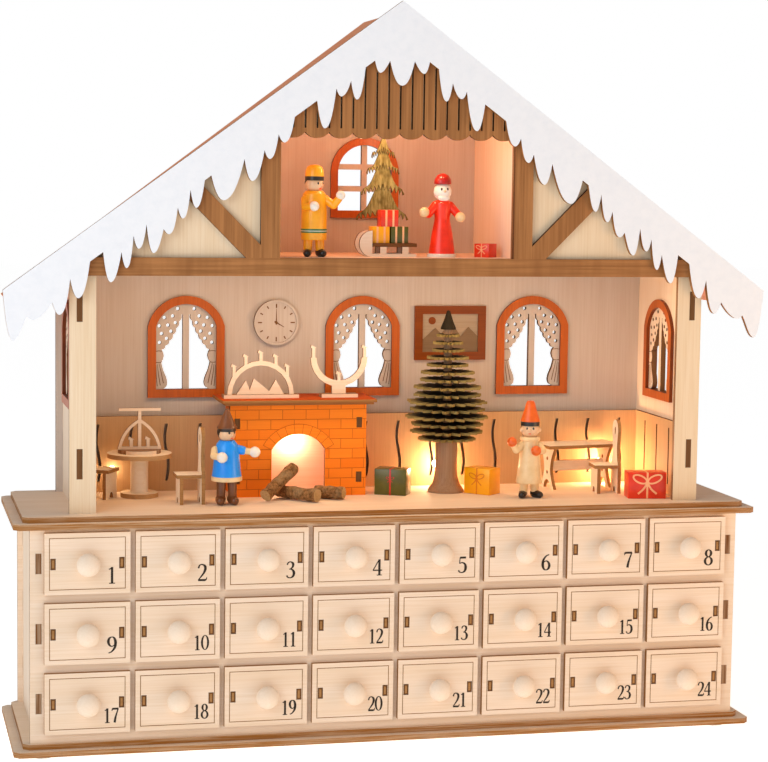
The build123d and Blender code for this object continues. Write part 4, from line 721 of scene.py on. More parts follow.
wainscot_middle_z = (wainscot_low.z + wainscot_high.z) / 2
wainscot_rise = wainscot_high.z - wainscot_low.z
back_sheet = plate(rectangle(0, wainscot_middle_z, 2 * wall_inner, wainscot_rise), thin_board,
                   [slit(x, slit_sway) for x in slit_places(back_slits, 0)])
wainscot = [placed(back_sheet, (0, wainscot_y, 0))]
side_middle = (wainscot_low.y + wainscot_y) / 2
for side in (-1, 1):
    outline = rectangle(side_middle, wainscot_middle_z, wainscot_y - wainscot_low.y, wainscot_rise)
    sheet = plate(outline, thin_board, [slit(y, 0.0) for y in slit_places(side_slits, side_middle)])
    wainscot.append(sideways(sheet, side * (wall_inner - thin_board), side))
add_piece("slit_wainscot", wainscot, [wainscot_stain, slot_stain], "wainscot")


# Curtained windows: each half light from the middle of the sill, with scalloped swags and tied drapes
window_frame = 4.7
mullion_half = 1.85
window_xs = (-103.0, 0.0, 103.0)
light_z = node_box("window_frames")[0].z + window_frame
side_window_y = back_wall_y - 37.0
swag_edge = [(2.6, 42.6), (3.9, 38.6), (5.6, 34.7), (7.4, 31.1), (9.4, 27.7), (11.6, 24.9), (13.9, 22.6)]
drape_edge = [(14.0, 15.4), (12.9, 11.0), (11.2, 6.8), (10.6, 3.6), (11.4, 1.2), (13.4, 0.0)]
polka_places = [(4.7, 45.9), (7.6, 41.7), (12.3, 40.8), (6.0, 37.9), (10.3, 36.5), (15.2, 36.1), (8.5, 33.0),
                (13.9, 31.7), (11.0, 28.9), (15.0, 26.6)]
polka_radius = 1.05
scallop_depth = 0.75
scallop_steps = 5
drape_tie = [(13.1, 17.0), (12.6, 19.0), (13.0, 21.0)]
fold_relief = 0.05


def half_light():
    """Clear opening right of the mullion."""
    swag = swag_edge[::-1]
    outline = [(mullion_half, swag_edge[0][1]), (mullion_half, 0.0), *reversed(curve_through(drape_edge, 4)),
               *drape_tie]
    for (x0, z0), (x1, z1) in zip(swag, swag[1:]):
        out = Vector((z0 - z1, x1 - x0)).normalized() * scallop_depth
        for step in range(scallop_steps):
            share = step / scallop_steps
            swell = math.sin(math.pi * share)
            outline.append((x0 + (x1 - x0) * share + out.x * swell, z0 + (z1 - z0) * share + out.y * swell))
    outline.append(swag_edge[0])
    return outline


def curtain_holes(x, z):
    """Both half lights of a window and the polka dots of its swags."""
    dots = [circle(px, pz, polka_radius, 10) for px, pz in polka_places]
    right = [half_light(), *dots]
    return [moved(loop, x, z) for loop in right] + [moved(mirrored(loop), x, z) for loop in right]


def drape_folds(x, z, finish):
    """Engraved fold lines on both drapes of a window."""
    folds = [[(16.2, 14.2, 0.12), (15.7, 9.0, 0.2), (14.6, 2.2, 0.24)],
             [(15.3, 14.6, 0.12), (14.0, 9.0, 0.2), (12.8, 3.4, 0.24)],
             [(17.0, 13.8, 0.1), (16.9, 8.0, 0.18), (16.3, 1.6, 0.22)],
             [(13.6, 15.6, 0.2), (15.4, 15.2, 0.2), (17.2, 15.4, 0.2)],
             [(13.4, 21.6, 0.2), (15.4, 21.9, 0.2), (17.2, 21.6, 0.2)]]
    shapes = []
    for side in (-1, 1):
        for fold in folds:
            path = [(x + side * px, z + pz, half) for px, pz, half in curve_through(fold, 5)]
            shapes.append(ribbon(path, fold_relief, finish))
    return shapes


roof_pitch = 37.1
roof_slope = math.tan(math.radians(roof_pitch))
eave_z = back_high.z - back_high.x * roof_slope
tenon_levels = (floor_z + 26.5, floor_z + 110.0)
tenon_half = 8.0
gable = [(back_low.x, floor_z), (back_high.x, floor_z), (back_high.x, eave_z), (0, back_high.z),
         (back_low.x, eave_z)]
wall_slots = [rectangle(side * (wall_outer - board / 2), level, board + slot_gap, 2 * tenon_half + slot_gap)
              for side in (-1, 1) for level in tenon_levels]

# Attic window panes between muntins, and the hole for the battery box
attic_sill = attic_z + 20.0
pane_half = 15.8
pane_low = 4.2
pane_rise = 37.6
muntin_half = 1.6
pane_spring = 27.0
pane_top = 41.8


def attic_panes():
    """Six panes right and left of the middle muntin; the upper ones have a round shoulder."""
    right = []
    levels = [pane_low + pane_rise * row / 3 for row in range(4)]
    for row in range(2):
        low = levels[row] + (muntin_half if row else 0)
        high = levels[row + 1] - muntin_half
        right.append([(muntin_half, low), (pane_half, low), (pane_half, high), (muntin_half, high)])
    radius = (pane_half ** 2 + (pane_top - pane_spring) ** 2) / (2 * (pane_top - pane_spring))
    low = levels[2] + muntin_half
    start = math.degrees(math.asin(max(0, (low - pane_top + radius) / radius)))
    end = math.degrees(math.acos(muntin_half / radius))
    right.append([(muntin_half, low), *arc(0, pane_top - radius, radius, radius, start, end, 12)])
    right = [moved(pane, 0, attic_sill) for pane in right]
    return right + [mirrored(pane) for pane in right]


battery_low, battery_high = node_box("battery_box")
battery_rim = 2.0
battery_hole = rectangle((battery_low.x + battery_high.x) / 2, (battery_low.z + battery_high.z) / 2,
                         battery_high.x - battery_low.x - 2 * battery_rim + slot_gap,
                         battery_high.z - battery_low.z - 2 * battery_rim + slot_gap)
wall_holes = [*wall_slots, *attic_panes(), battery_hole]
for x in window_xs:
    wall_holes += curtain_holes(x, light_z)
back_wall = [placed(plate(gable, board, wall_holes), (0, back_wall_y, 0))]
for x in window_xs:
    back_wall += all_placed(drape_folds(x, light_z, 1), (0, back_wall_y, 0))
# The back wall's plywood carries the room's painted shade
add_piece("curtained_back_wall", back_wall, [room_ply, burnt_edge], "house_back_wall")

wall_top = back_high.z - wall_outer * roof_slope


def tenoned_edge(y, tenon_y):
    """Upright edge of a side wall with its two tenons, from the floor up."""
    edge = [(y, floor_z)]
    for level in tenon_levels:
        low = level - tenon_half
        high = level + tenon_half
        edge += [(y, low), (tenon_y, low), (tenon_y, high), (y, high)]
    return edge


side_outline = [*tenoned_edge(panel_back_y, panel_back_y - board),
                (panel_back_y, wall_top), (back_wall_y, wall_top),
                *reversed(tenoned_edge(back_wall_y, back_wall_y + board))]
side_walls = []
for side in (-1, 1):
    sheet = plate(side_outline, board, curtain_holes(side_window_y, light_z))
    side_walls.append(sideways(sheet, side * wall_inner, side))
    for shape in drape_folds(side_window_y, light_z, 1):
        side_walls.append(sideways(shape, side * wall_inner, side))
add_piece("curtained_side_walls", side_walls, [ply_upright, burnt_edge], "house_side_walls")

# Fireplace: brick front with an arched mouth, cheeks tenoned into it, liner and mantel
hearth_x = (hearth_low.x + hearth_high.x) / 2
mantel_overhang = 5.0
hearth_half = (hearth_high.x - hearth_low.x) / 2 - mantel_overhang
hearth_front_y = hearth_low.y + mantel_overhang
hearth_height = hearth_high.z - board - floor_z
mouth_half = 15.3
mouth_spring = 26.5
mouth_rise = 8.9
mouth_radius = (mouth_half ** 2 + mouth_rise ** 2) / (2 * mouth_rise)
mouth_reach = math.degrees(math.asin(mouth_half / mouth_radius))
mouth_z = mouth_spring + mouth_rise - mouth_radius
arch_stone = 5.6
stone_relief = 0.3
joint_half = 0.12
joint_relief = 0.05
rim_inset = 0.2          # line along the mouth, from its edge
arch_stones = 9
cheek_x = hearth_half - 4.1
hearth_tenon = 5.7
liner_back = 7.0         # front of the liner before the hearth's back
mantel_lip = 1.5         # lower mantel board, in from the upper one
lower_mantel = 1.3
upper_mantel = 1.7
hearth_tenon_levels = (10.5, 41.5)


def arch(radius):
    """Arch over the hearth's mouth, from right to left."""
    return arc(0, mouth_z, radius, radius, 90 - mouth_reach, 90 + mouth_reach, 20)


mouth_arc = arch(mouth_radius)
hearth_outline = [(-hearth_half, 0), (-mouth_half, 0), *reversed(mouth_arc), (mouth_half, 0),
                  (hearth_half, 0), (hearth_half, hearth_height), (-hearth_half, hearth_height)]
hearth_slots = [rectangle(side * cheek_x, level, board + slot_gap, hearth_tenon + slot_gap)
                for side in (-1, 1) for level in hearth_tenon_levels]
hearth = [plate(hearth_outline, board, hearth_slots)]
stone_radius = mouth_radius + arch_stone
stones = [*mouth_arc, *reversed(arch(stone_radius))]
hearth.append(placed(plate(stones, stone_relief, (), 3, 6), (0, -stone_relief, 0)))
arch_joints = [90 - mouth_reach + 2 * mouth_reach * joint / arch_stones for joint in range(arch_stones + 1)]
for angle in arch_joints:
    way = Vector((math.cos(math.radians(angle)), math.sin(math.radians(angle))))
    joint = [(way.x * radius, mouth_z + way.y * radius, joint_half)
             for radius in (mouth_radius, stone_radius)]
    hearth.append(placed(ribbon(joint, joint_relief, 6), (0, -stone_relief, 0)))
for radius in (mouth_radius + rim_inset, stone_radius):
    rim_line = ribbon([(x, z, joint_half) for x, z in arch(radius)], joint_relief, 6)
    hearth.append(placed(rim_line, (0, -stone_relief, 0)))
cheek_depth = hearth_high.y - hearth_front_y
for side in (-1, 1):
    cheek_left = side * cheek_x - board / 2
    hearth.append(block((board, cheek_depth - board, hearth_height), (cheek_left, board, 0)))
    for level in hearth_tenon_levels:
        tenon_corner = (cheek_left, tenon_sink, level - hearth_tenon / 2)
        hearth.append(block((board, board, hearth_tenon), tenon_corner, 1))
liner_half = cheek_x - board / 2
liner_corner = (-liner_half, cheek_depth - liner_back, 0)
hearth.append(block((2 * liner_half, thin_board, hearth_height), liner_corner, 2))
mantel_half = hearth_half + mantel_overhang
mantel_depth = hearth_high.y - hearth_low.y
lower_size = (2 * (mantel_half - mantel_lip), mantel_depth - mantel_lip, lower_mantel)
lower_corner = (mantel_lip - mantel_half, mantel_lip - mantel_overhang, hearth_height)
hearth.append(block(lower_size, lower_corner, 5, softness=0.3))
upper_corner = (-mantel_half, -mantel_overhang, hearth_height + lower_mantel)
hearth.append(block((2 * mantel_half, mantel_depth, upper_mantel), upper_corner, 4, 5, 2))
hearth_finishes = [brick, burnt_edge, ply_face, brick_plain, mantel_stain, brown_edge, joint_stain]
hearth = all_placed(hearth, (hearth_x, hearth_front_y, floor_z))
add_piece("brick_fireplace", hearth, hearth_finishes, "fireplace")


# Twig logs: place of one end from the hearth's front middle, turn, rise and length
log_radius = 4.0
log_rings = 14
log_end = 0.86           # radius of the cut end, as a share
knob_scale = 240         # of the bark's knobs, per metre
bark_share = 0.88        # mean radius of the bark, as a share
knob_share = 0.2         # height of the knobs, as a share
logs = [(-22.47, -19.79, 3.53, 40, 28, 28.0), (-12.01, -3.71, 4.0, -50, 0, 28.0),
        (8.39, -8.0, 4.0, -32, 0, 16.8)]


def twig(x, y, z, turn, rise, length):
    """Sawn twig with knobbly bark and pale cut ends."""
    rings = [(log_radius, length * ring / log_rings) for ring in range(log_rings + 1)]
    end_radius = log_radius * log_end
    shape = turned([(0, 0), (end_radius, 0), *rings, (end_radius, length), (0, length)], 0, 28)
    for side in shape.faces:
        side.material_index = 1 if abs(side.normal.z) > 0.8 else 0
    for vert in shape.verts:
        swell = bark_share + knob_share * noise.noise(vert.co * knob_scale + Vector((x, y, z)))
        vert.co.x *= swell
        vert.co.y *= swell
    lay = Matrix.Translation(Vector((hearth_x + x, hearth_front_y + y, floor_z + z)) * mm)
    lay = lay @ Matrix.Rotation(math.radians(turn), 4, "Z") @ Matrix.Rotation(math.radians(90 - rise), 4, "Y")
    bmesh.ops.transform(shape, matrix=lay, verts=shape.verts)
    return shape


add_piece("twig_logs", [twig(*row) for row in logs], [twig_bark, twig_end], "hearth_logs")

# Chairs facing +X, a round table and a writing desk, sawn from thin plywood
chair_half = 7.5
chair_seat = 16.5
chair_depth = 13.5
leg_inset = 1.5          # front leg behind the seat's front
leg_gap = arc(0, 0, 2.4, 3.5, 180, 0, 10)
head_hole = ellipse(0, 35.8, 1.3, 2.3, 16)
back_side = curve_through([(7.5, 16.5), (5.6, 20.0), (4.6, 26.0), (5.5, 32.0), (6.4, 36.2), (5.2, 39.6),
                           (2.6, 41.6), (0.0, 42.0)], 4)
chair_back = [(-chair_half, 0), *leg_gap, (chair_half, 0), *back_side, *reversed(mirrored(back_side)[:-1])]
chair_front = [(-chair_half, 0), *leg_gap, (chair_half, 0), (chair_half, chair_seat - thin_board),
               (-chair_half, chair_seat - thin_board)]
chair_places = [(-153.0, 20.0, -30), (-109.5, -6.5, 180), (133.5, 0.5, 175)]
seat_size = (chair_depth, 2 * chair_half, thin_board)
seat_corner = (-chair_depth / 2, -chair_half, chair_seat - thin_board)
chairs = []
for x, y, turn in chair_places:
    chair = [sideways(plate(chair_back, thin_board, [head_hole]), -chair_depth / 2 - thin_board),
             sideways(plate(chair_front, thin_board), chair_depth / 2 - leg_inset - thin_board),
             block(seat_size, seat_corner, 0, 1, 2)]
    chairs += all_placed(chair, (x, y, floor_z), turn)
add_piece("sawn_chairs", chairs, [furniture_ply, groove_brown], "chairs")

table_middle = (table_low + table_high) / 2
table_radius = (table_high.x - table_low.x) / 2
table_height = table_high.z - table_low.z
table_board = 2.5
table_foot = 10.5
leg_profile = [(5.25, table_board), (5.0, 4.0), (4.9, 12.0), (5.0, 20.5), (5.25, table_height - table_board)]
table_top = plate(circle(0, 0, table_radius, 48), table_board)
table_base = plate(circle(0, 0, table_foot, 40), table_board)
table = [placed(table_top, (0, 0, table_height - table_board), 0, 90), turned(leg_profile),
         placed(table_base, (0, 0, 0), 0, 90)]
table = all_placed(table, (table_middle.x, table_middle.y, floor_z))
add_piece("turned_table", table, [furniture_ply, table_edge], "round_table")

desk_size = Vector((46.0, 22.0, 26.0))
desk_leg_x = 18.0
desk_at = (125.0, 23.5, floor_z)
desk_turn = 8
rail_height = 6.0
rail_z = 10.0
leg_side = curve_through([(9.0, 0.0), (6.4, 4.0), (4.2, 9.0), (4.0, 13.0), (5.4, 18.0), (9.0, 24.0)], 4)
leg_notch = arc(0, 0, 4.4, 5.2, 180, 0, 10)
desk_leg = [*leg_notch, *leg_side, *reversed(mirrored(leg_side))]
desk_holes = [circle(0, z, 1.1, 14) for z in (9.5, 17.5)]
desk = [sideways(plate(desk_leg, thin_board, desk_holes), side * desk_leg_x - thin_board / 2)
        for side in (-1, 1)]
top_corner = (-desk_size.x / 2, -desk_size.y / 2, desk_size.z - thin_board)
desk.append(block((desk_size.x, desk_size.y, thin_board), top_corner, 0, 1, 2))
rail_size = (2 * desk_leg_x - thin_board, thin_board, rail_height)
desk.append(block(rail_size, (thin_board / 2 - desk_leg_x, -thin_board / 2, rail_z), 0, 1, 1))
add_piece("sawn_desk", all_placed(desk, desk_at, desk_turn), [furniture_ply, groove_brown],
          "writing_desk")

# Fir tree: toothed rings on a dowel, over a turned foot
tree_middle = (tree_low + tree_high) / 2
ring_count = 15
ring_low = 30.0
ring_high = 93.6
ring_board = 1.5
ring_teeth = 19
ring_limit = 23.9        # reach of the longest tooth
tooth_shape = (1.0, 0.9, 0.7, 0.88)
tooth_wobble = 0.07
ring_twist = 1.7         # from ring to ring, in quarters of a tooth
small_ring = 0.9         # every other ring, as a share
ring_radii = (18.5, 22.0, 24.0, 23.0, 21.0, 18.0, 15.0, 12.0, 9.6, 7.4)
ring_profile = curve_through([(radius,) for radius in ring_radii], 6)
tree = [turned([(0, 0), (10.4, 0), (10.4, 1.4), (9.6, 2.4), (7.8, 5.0), (6.7, 9.0), (6.3, 14.0), (6.3, 29.0),
                (5.6, ring_low), (0, ring_low)], 2),
        turned([(2.4, ring_low), (2.4, ring_high)], 2, 16),
        turned([(0, ring_high), (4.4, ring_high), (4.3, 94.6), (2.8, 98.2), (0.9, 104.0), (0, 104.5)], 0, 24)]
for level in range(ring_count):
    share = level / (ring_count - 1)
    radius = ring_profile[round(share * (len(ring_profile) - 1))][0] * (1.0 if level % 2 else small_ring)
    star = []
    for tooth in range(4 * ring_teeth):
        angle = math.tau * (tooth + ring_twist * level) / (4 * ring_teeth)
        wobble = 1 + tooth_wobble * noise.noise(Vector((tooth, level, 0.3)) * 0.9)
        reach = min(radius * tooth_shape[tooth % 4] * wobble, ring_limit)
        star.append((reach * math.cos(angle), reach * math.sin(angle)))
    ring_z = ring_low + (ring_high - ring_low) * level / ring_count
    tree.append(placed(plate(star, ring_board), (0, 0, ring_z), 0, 90))
tree = all_placed(tree, (tree_middle.x, tree_middle.y, floor_z))
# The rings' pale edges are a painted highlight
add_piece("ringed_fir", tree, [olive_face, olive_edge_painted_highlight, trunk_stain], "fir_tree")

# Flat fir in the attic: drooping tiers by the level of their tips, reach and crown, each a little behind
# the next
fir_tiers = ((19.5, fir_half, 43.0), (33.5, 12.4, 54.0), (45.0, 9.4, 61.0), (54.0, 6.7, fir_height))
needles = (0.08, 0.26, 0.44, 0.62, 0.8, 0.95)
needle_length = 3.4
needle_half = 0.06       # as a share of the reach
inner_lift = 3.2         # rise of the innermost needles
tip_rise = 0.9
tier_step = 0.4
fir_stand = 0.05         # behind the front of the CAD's box, as room for the fringe
fringe_half = 0.2
fringe_relief = 0.03
fir_board = fir_high.y - fir_low.y - tier_step * len(fir_tiers)
fir = [placed(plate(rectangle(0, 13.0, 5.0, 26.0), fir_board, (), 1, 1), (0, tier_step * len(fir_tiers), 0))]
for tier, (tip_z, reach, crown_z) in enumerate(fir_tiers):
    rise = crown_z - tip_z
    fringe = []
    for out in needles:
        lift = inner_lift * (1 - out)
        fringe += [((out - needle_half) * reach, tip_z + needle_length + lift), (out * reach, tip_z + lift)]
    fringe.append((reach, tip_z + tip_rise))
    bough = curve_through([(reach, tip_z + tip_rise), (0.88 * reach, tip_z + 3.6),
                           (0.6 * reach, tip_z + 0.3 * rise), (0.36 * reach, tip_z + 0.6 * rise),
                           (0.1 * reach, crown_z)], 3)
    side = [*fringe, *bough[1:]]
    depth = tier_step * (len(fir_tiers) - 1 - tier)
    fir.append(placed(plate([*side, *reversed(mirrored(side))], fir_board), (0, depth, 0)))
    # Dark lines along each fringe: painted shade where the needles hang over the tier below
    for row in (fringe, mirrored(fringe)):
        fir.append(placed(ribbon([(x, z, fringe_half) for x, z in row], fringe_relief, 1), (0, depth, 0)))
fir = all_placed(fir, ((fir_low.x + fir_high.x) / 2, fir_low.y + fir_stand, attic_z))
add_piece("feathered_fir", fir, [fir_light, fir_edge_and_fringe_shade], "attic_fir")

# Gift boxes: painted blocks with ribbons and bows
gift_tones = {
    "green_gift": ("#5C5A16", "#474610"), "yellow_gift": ("#FFB400", "#FAA200"),
    "red_gift": ("#EE3A16", "#D82C0C"), "gold_ribbon": ("#FFBE8A", "#F8AE74"),
    "red_ribbon": ("#D0301E", "#B02014"), "ochre_ribbon": ("#E4820A", "#D07204"),
}
gift_paints = [lacquer(f"{name}_paint", *tones) for name, tones in gift_tones.items()]
green, yellow, red, gold, bow_red, ochre = range(6)
bow_tail = [(0.0, 0.0), (0.12, -0.2), (0.3, -0.36)]
bow_lift = math.radians(24)
bow_relief = 0.08
knot_relief = 0.12
bow_height = 0.62        # on the gift, as a share of its height
band_share = 0.05        # ribbon, as a share of the gift's width
band_relief = 0.1


def bow(x, z, size, finish):
    """Painted bow of thin lines: two loops, two tails and a knot."""
    knot = plate(circle(x, z, 0.06 * size, 12), knot_relief, (), finish, finish)
    shapes = [placed(knot, (0, -knot_relief, 0))]
    rise = math.sin(bow_lift)
    run = math.cos(bow_lift)
    rings = [[(px * run - pz * rise, px * rise + pz * run)
              for px, pz in ellipse(0.26, 0, 0.26 - line, 0.14 - line, 20)] for line in (0, 0.055)]
    for side in (-1, 1):
        outer, inner = [[(x + side * px * size, z + pz * size) for px, pz in ring] for ring in rings]
        shapes.append(placed(plate(outer, bow_relief, [inner], finish, finish), (0, -bow_relief, 0)))
        path = [(x + side * px * size, z + pz * size, 0.03 * size) for px, pz in curve_through(bow_tail, 6)]
        shapes.append(ribbon(path, bow_relief, finish))
    return shapes


def gift(size, at, turn, paint, tie, bow_size):
    """Painted block with a ribbon over its front and top and a bow on its front."""
    width, depth, height = size
    band = band_share * width
    band_size = (band, depth + 2 * band_relief, height + band_relief)
    band_front = -depth / 2 - band_relief
    shapes = [block(size, (-width / 2, -depth / 2, 0), paint, softness=0.35),
              block(band_size, (-band / 2, band_front, 0), tie, softness=0.05)]
    shapes += all_placed(bow(0, bow_height * height, bow_size, tie), (0, band_front, 0))
    return all_placed(shapes, at, turn)


gifts = gift((18.5, 12.0, 14.9), (10.75, 10.5, floor_z), -28, green, bow_red, 5.0)
gifts += gift((17.0, 12.0, 14.9), (62.5, 6.0, floor_z), -48, yellow, ochre, 11.0)
gifts += gift((21.8, 12.0, 14.9), (150.9, -22.5, floor_z), -8, red, gold, 18.0)
gifts += gift((9.4, 9.0, 7.6), (56.0, -14.5, attic_z), -46, red, gold, 7.5)
add_piece("wrapped_gifts", gifts, gift_paints, "gift_boxes")

# Sled with three striped parcels: runners with half discs in front, and a thin seat
sled_low, sled_high = node_box("sled")
sled_y = (sled_low.y + sled_high.y) / 2
curl = 7.2
bar_half = 12.5
sled_x = sled_low.x + curl + bar_half
runner_bar = 1.8
seat_z = 5.5
seat_shift = 0.3         # seat, back from the bar's middle
sled_half = 6.5
posts = (8.05, 4.45, -4.45, -8.05)   # sides of the two posts along the bar
post_levels = ((runner_bar, seat_z), (seat_z, runner_bar)) * 2
post_steps = [(x, z) for x, levels in zip(posts, post_levels) for z in levels]
runner = [(bar_half, 0), (bar_half, runner_bar), *post_steps, (-bar_half, runner_bar),
          *arc(-bar_half, curl, curl, curl, 90, 270, 28)]
sled = [placed(plate(runner, thin_board), (0, y, 0)) for y in (-sled_half, sled_half - thin_board)]
sled_corner = (seat_shift - bar_half, -sled_half, seat_z)
sled.append(block((2 * bar_half, 2 * sled_half, thin_board), sled_corner, 2))
# Wiped stain: a dark brown that lets the streaks through
sled_stain = wood("dark_brown_sled_seat", "#7A4E28", "#573618", roughness=0.6)
parcel_size = Vector((9.8, 9.75, 9.1))
stripe_width = 1.1
stripe_out = 2.0         # from the parcel's middle
stripe_relief = 0.06
parcel_z = seat_z + thin_board
sled_finishes = [ply_face, burnt_edge, sled_stain, *gift_paints]
first_paint = len(sled_finishes) - len(gift_paints)


def striped_parcel(x, z, paint):
    """Painted block with two gold stripes round it."""
    low_corner = (x - parcel_size.x / 2, -parcel_size.y / 2, z)
    shapes = [block(parcel_size, low_corner, first_paint + paint, softness=0.3)]
    band = (stripe_width, parcel_size.y + 2 * stripe_relief, parcel_size.z + stripe_relief)
    for side in (-1, 1):
        corner = (x + side * stripe_out - stripe_width / 2, -parcel_size.y / 2 - stripe_relief, z)
        shapes.append(block(band, corner, first_paint + gold, softness=0.03))
    return shapes


sled += striped_parcel(-7.3, parcel_z, yellow)
sled += striped_parcel(3.3, parcel_z, green)
sled += striped_parcel(-2.4, parcel_z + parcel_size.z, red)
sled = all_placed(sled, (sled_x, sled_y, attic_z))
add_piece("loaded_sled", sled, sled_finishes, "sled")

# Turned and painted figures
figure_tones = {
    "skin": ("#EBC39A", "#DDAE82"), "black": ("#1E1A18", "#2A2522"), "white": ("#F3ECE0", "#E6DCCB"),
    "blue": ("#1E9CFF", "#128EFA"), "mustard": ("#FFB01C", "#F29E0E"), "red": ("#FF3818", "#E42C10"),
    "cream": ("#F2D6A6", "#E6C48E"), "orange": ("#E8691E", "#CF5414"), "brown": ("#7A4A2A", "#5E361C"),
    "green": ("#3F7A4A", "#2E6238"), "maroon": ("#B01E18", "#8C1410"),
}
figure_paints = [lacquer(f"{name}_lacquer", *tones) for name, tones in figure_tones.items()]
paint_order = list(figure_tones)


def figure(at, lathe, limbs, beads):
    """Turned figure from outlines, limbs and beads, each with the name of its paint."""
    shapes = [turned(outline, paint_order.index(paint), 40) for paint, outline in lathe]
    for paint, start, end, thick, thin in limbs:
        shapes.append(limb(start, end, thick, thin, paint_order.index(paint)))
    for paint, radius, spot, *stretch in beads:
        shapes.append(ball(radius, spot, paint_order.index(paint), *stretch))
    return all_placed(shapes, at)


def face(z, front, turn=0):
    """Eyes, nose and mouth on a head with its middle at z and its front at a distance from the axis."""
    beads = [("black", 0.62, (side * 1.7, 0.5 - front, z + 0.9), (1, 0.7, 1.25)) for side in (-1, 1)]
    beads.append(("skin", 0.75, (0, -front, z - 0.2)))
    beads.append(("red", 0.7, (0, 0.75 - front, z - 2.0), (1.5, 0.7, 0.5)))
    swing = Matrix.Rotation(math.radians(turn), 3, "Z")
    return [(paint, radius, swing @ Vector(spot), *stretch) for paint, radius, spot, *stretch in beads]


def arm(paint, shoulder, elbow, wrist, girths):
    """Upper and lower arm in one paint, with its girths at the three joints."""
    return [(paint, shoulder, elbow, *girths[:2]), (paint, elbow, wrist, *girths[1:])]


ankle_z = 4.6
leg_girths = (2.6, 2.4)
shoe_out = 0.2           # heel, out from the hip
heel_y = 0.6
toe_y = -3.6


def legs_and_shoes(leg, shoe, hip, apart, toe_out, size):
    """Two legs down to the shoes, which point outwards."""
    heel = apart + shoe_out
    toe = 0.8 * size
    limbs = [(leg, (side * apart, 0, hip), (side * heel, 0, ankle_z), *leg_girths) for side in (-1, 1)]
    shoes = [(shoe, (side * heel, heel_y, size), (side * (apart + toe_out), toe_y, toe), size, toe)
             for side in (-1, 1)]
    return limbs + shoes


blue_figure = figure(
    (-89.0, -14.5, floor_z),
    [("blue", [(0, 13.3), (8.2, 13.3), (8.3, 14.4), (7.6, 20), (6.6, 30), (5.6, 33.6), (4.2, 35.4),
               (0, 35.5)]),
     ("cream", [(8.15, 13.2), (8.5, 13.5), (8.45, 15.6), (8.05, 15.8)]),
     ("black", [(4.75, 40.4), (5.05, 40.7), (5.05, 42.2), (4.6, 42.5)]),
     ("brown", [(0, 42.0), (5.4, 42.0), (5.6, 42.6), (4.6, 44.2), (3.2, 47.4), (1.8, 50.6), (0.8, 52.6),
                (0, 53)])],
    [("blue", (5.8, -0.4, 30.4), (8.6, -1.2, 29.8), 2.6, 2.4),
     ("cream", (8.6, -1.2, 29.8), (12.6, -2.2, 29.2), 1.9, 1.8),
     *arm("cream", (-6.6, -0.8, 30.2), (-7.8, -4.2, 27.4), (-5.4, -7.4, 27.2), (2.2, 2.0, 1.9)),
     *legs_and_shoes("brown", "brown", 13.4, 3.0, 1.0, 2.9)],
    [("skin", 4.8, (0, 0, 39.2), (1, 1, 0.98)), ("black", 4.85, (-0.4, 0.9, 39.9), (1.02, 1, 1)),
     ("white", 3.0, (15.0, -2.9, 29.0)), ("white", 3.0, (-4.0, -8.6, 27.0)), *face(38.9, 4.7, 28)])
cream_figure = figure(
    (84.5, -13.5, floor_z),
    [("cream", [(0, 8.4), (7.3, 8.4), (7.6, 9.2), (6.9, 15), (5.9, 23), (5.2, 29), (4.9, 32), (3.9, 33.8),
                (0, 34.0)]),
     ("cream", [(3.9, 32.7), (5.2, 32.3), (5.9, 33.5), (5.3, 34.7), (3.9, 34.9)]),
     ("black", [(5.0, 41.0), (5.4, 41.3), (5.4, 43.4), (5.0, 43.7)]),
     ("orange", [(0, 43.2), (5.3, 43.2), (5.5, 43.9), (4.7, 46.4), (3.3, 50.6), (2.6, 53.6), (1.8, 55.0),
                 (0, 55.4)])],
    [*arm("cream", (-4.8, -0.8, 30.0), (-8.8, -2.6, 27.6), (-11.0, -4.2, 30.6), (2.3, 2.1, 1.9)),
     *arm("cream", (4.9, -1.0, 30.0), (6.2, -5.0, 27.4), (3.0, -7.4, 27.4), (2.3, 2.1, 1.9)),
     *legs_and_shoes("cream", "black", 9.4, 3.1, 2.2, 2.4)],
    [("skin", 5.2, (0, 0, 39.0), (1, 1, 0.98)), ("black", 5.25, (0.3, 0.9, 40.0), (1.0, 1, 0.9)),
     ("skin", 1.3, (-5.0, -0.8, 38.6)), ("skin", 1.3, (5.0, -0.8, 38.6)),
     ("orange", 2.8, (-12.0, -4.8, 32.4)), ("orange", 2.9, (1.2, -8.2, 27.6)), *face(38.8, 5.1, -16)])
room_pair = blue_figure + cream_figure
add_piece("painted_room_figures", room_pair, figure_paints, "room_figures")
mustard_figure = figure(
    (-43.0, -20.5, attic_z),
    [("mustard", [(0, 9.2), (6.7, 9.2), (7.0, 10.0), (6.9, 31.0), (6.2, 34.3), (4.6, 35.9), (0, 36)]),
     ("green", [(6.8, 13.0), (7.2, 13.2), (7.2, 15.2), (6.8, 15.4)]),
     ("white", [(7.1, 13.9), (7.3, 14.0), (7.3, 14.3), (7.1, 14.4)]),
     ("black", [(4.8, 41.4), (5.2, 41.7), (5.2, 43.6), (4.8, 43.9)]),
     ("mustard", [(0, 43.2), (5.1, 43.2), (5.2, 44.4), (4.9, 46.8), (4.0, 48.8), (2.4, 49.8), (0, 50)])],
    [*arm("mustard", (5.6, -1.6, 31.4), (9.8, -4.4, 28.2), (12.2, -6.4, 31.6), (2.4, 2.2, 2.0)),
     *arm("mustard", (-5.4, -2.4, 31.2), (-6.0, -5.0, 27.2), (-3.2, -7.6, 27.4), (2.4, 2.1, 1.9)),
     *legs_and_shoes("mustard", "black", 9.8, 3.2, 1.2, 2.5)],
    [("skin", 5.1, (0, 0, 39.4), (1, 1, 0.9)), ("black", 5.1, (0, 0.9, 40.2), (1.02, 1, 0.8)),
     ("white", 2.5, (13.1, -7.0, 33.6)), ("white", 2.7, (-1.6, -8.2, 27.6)), *face(39.0, 5.0, 34)])
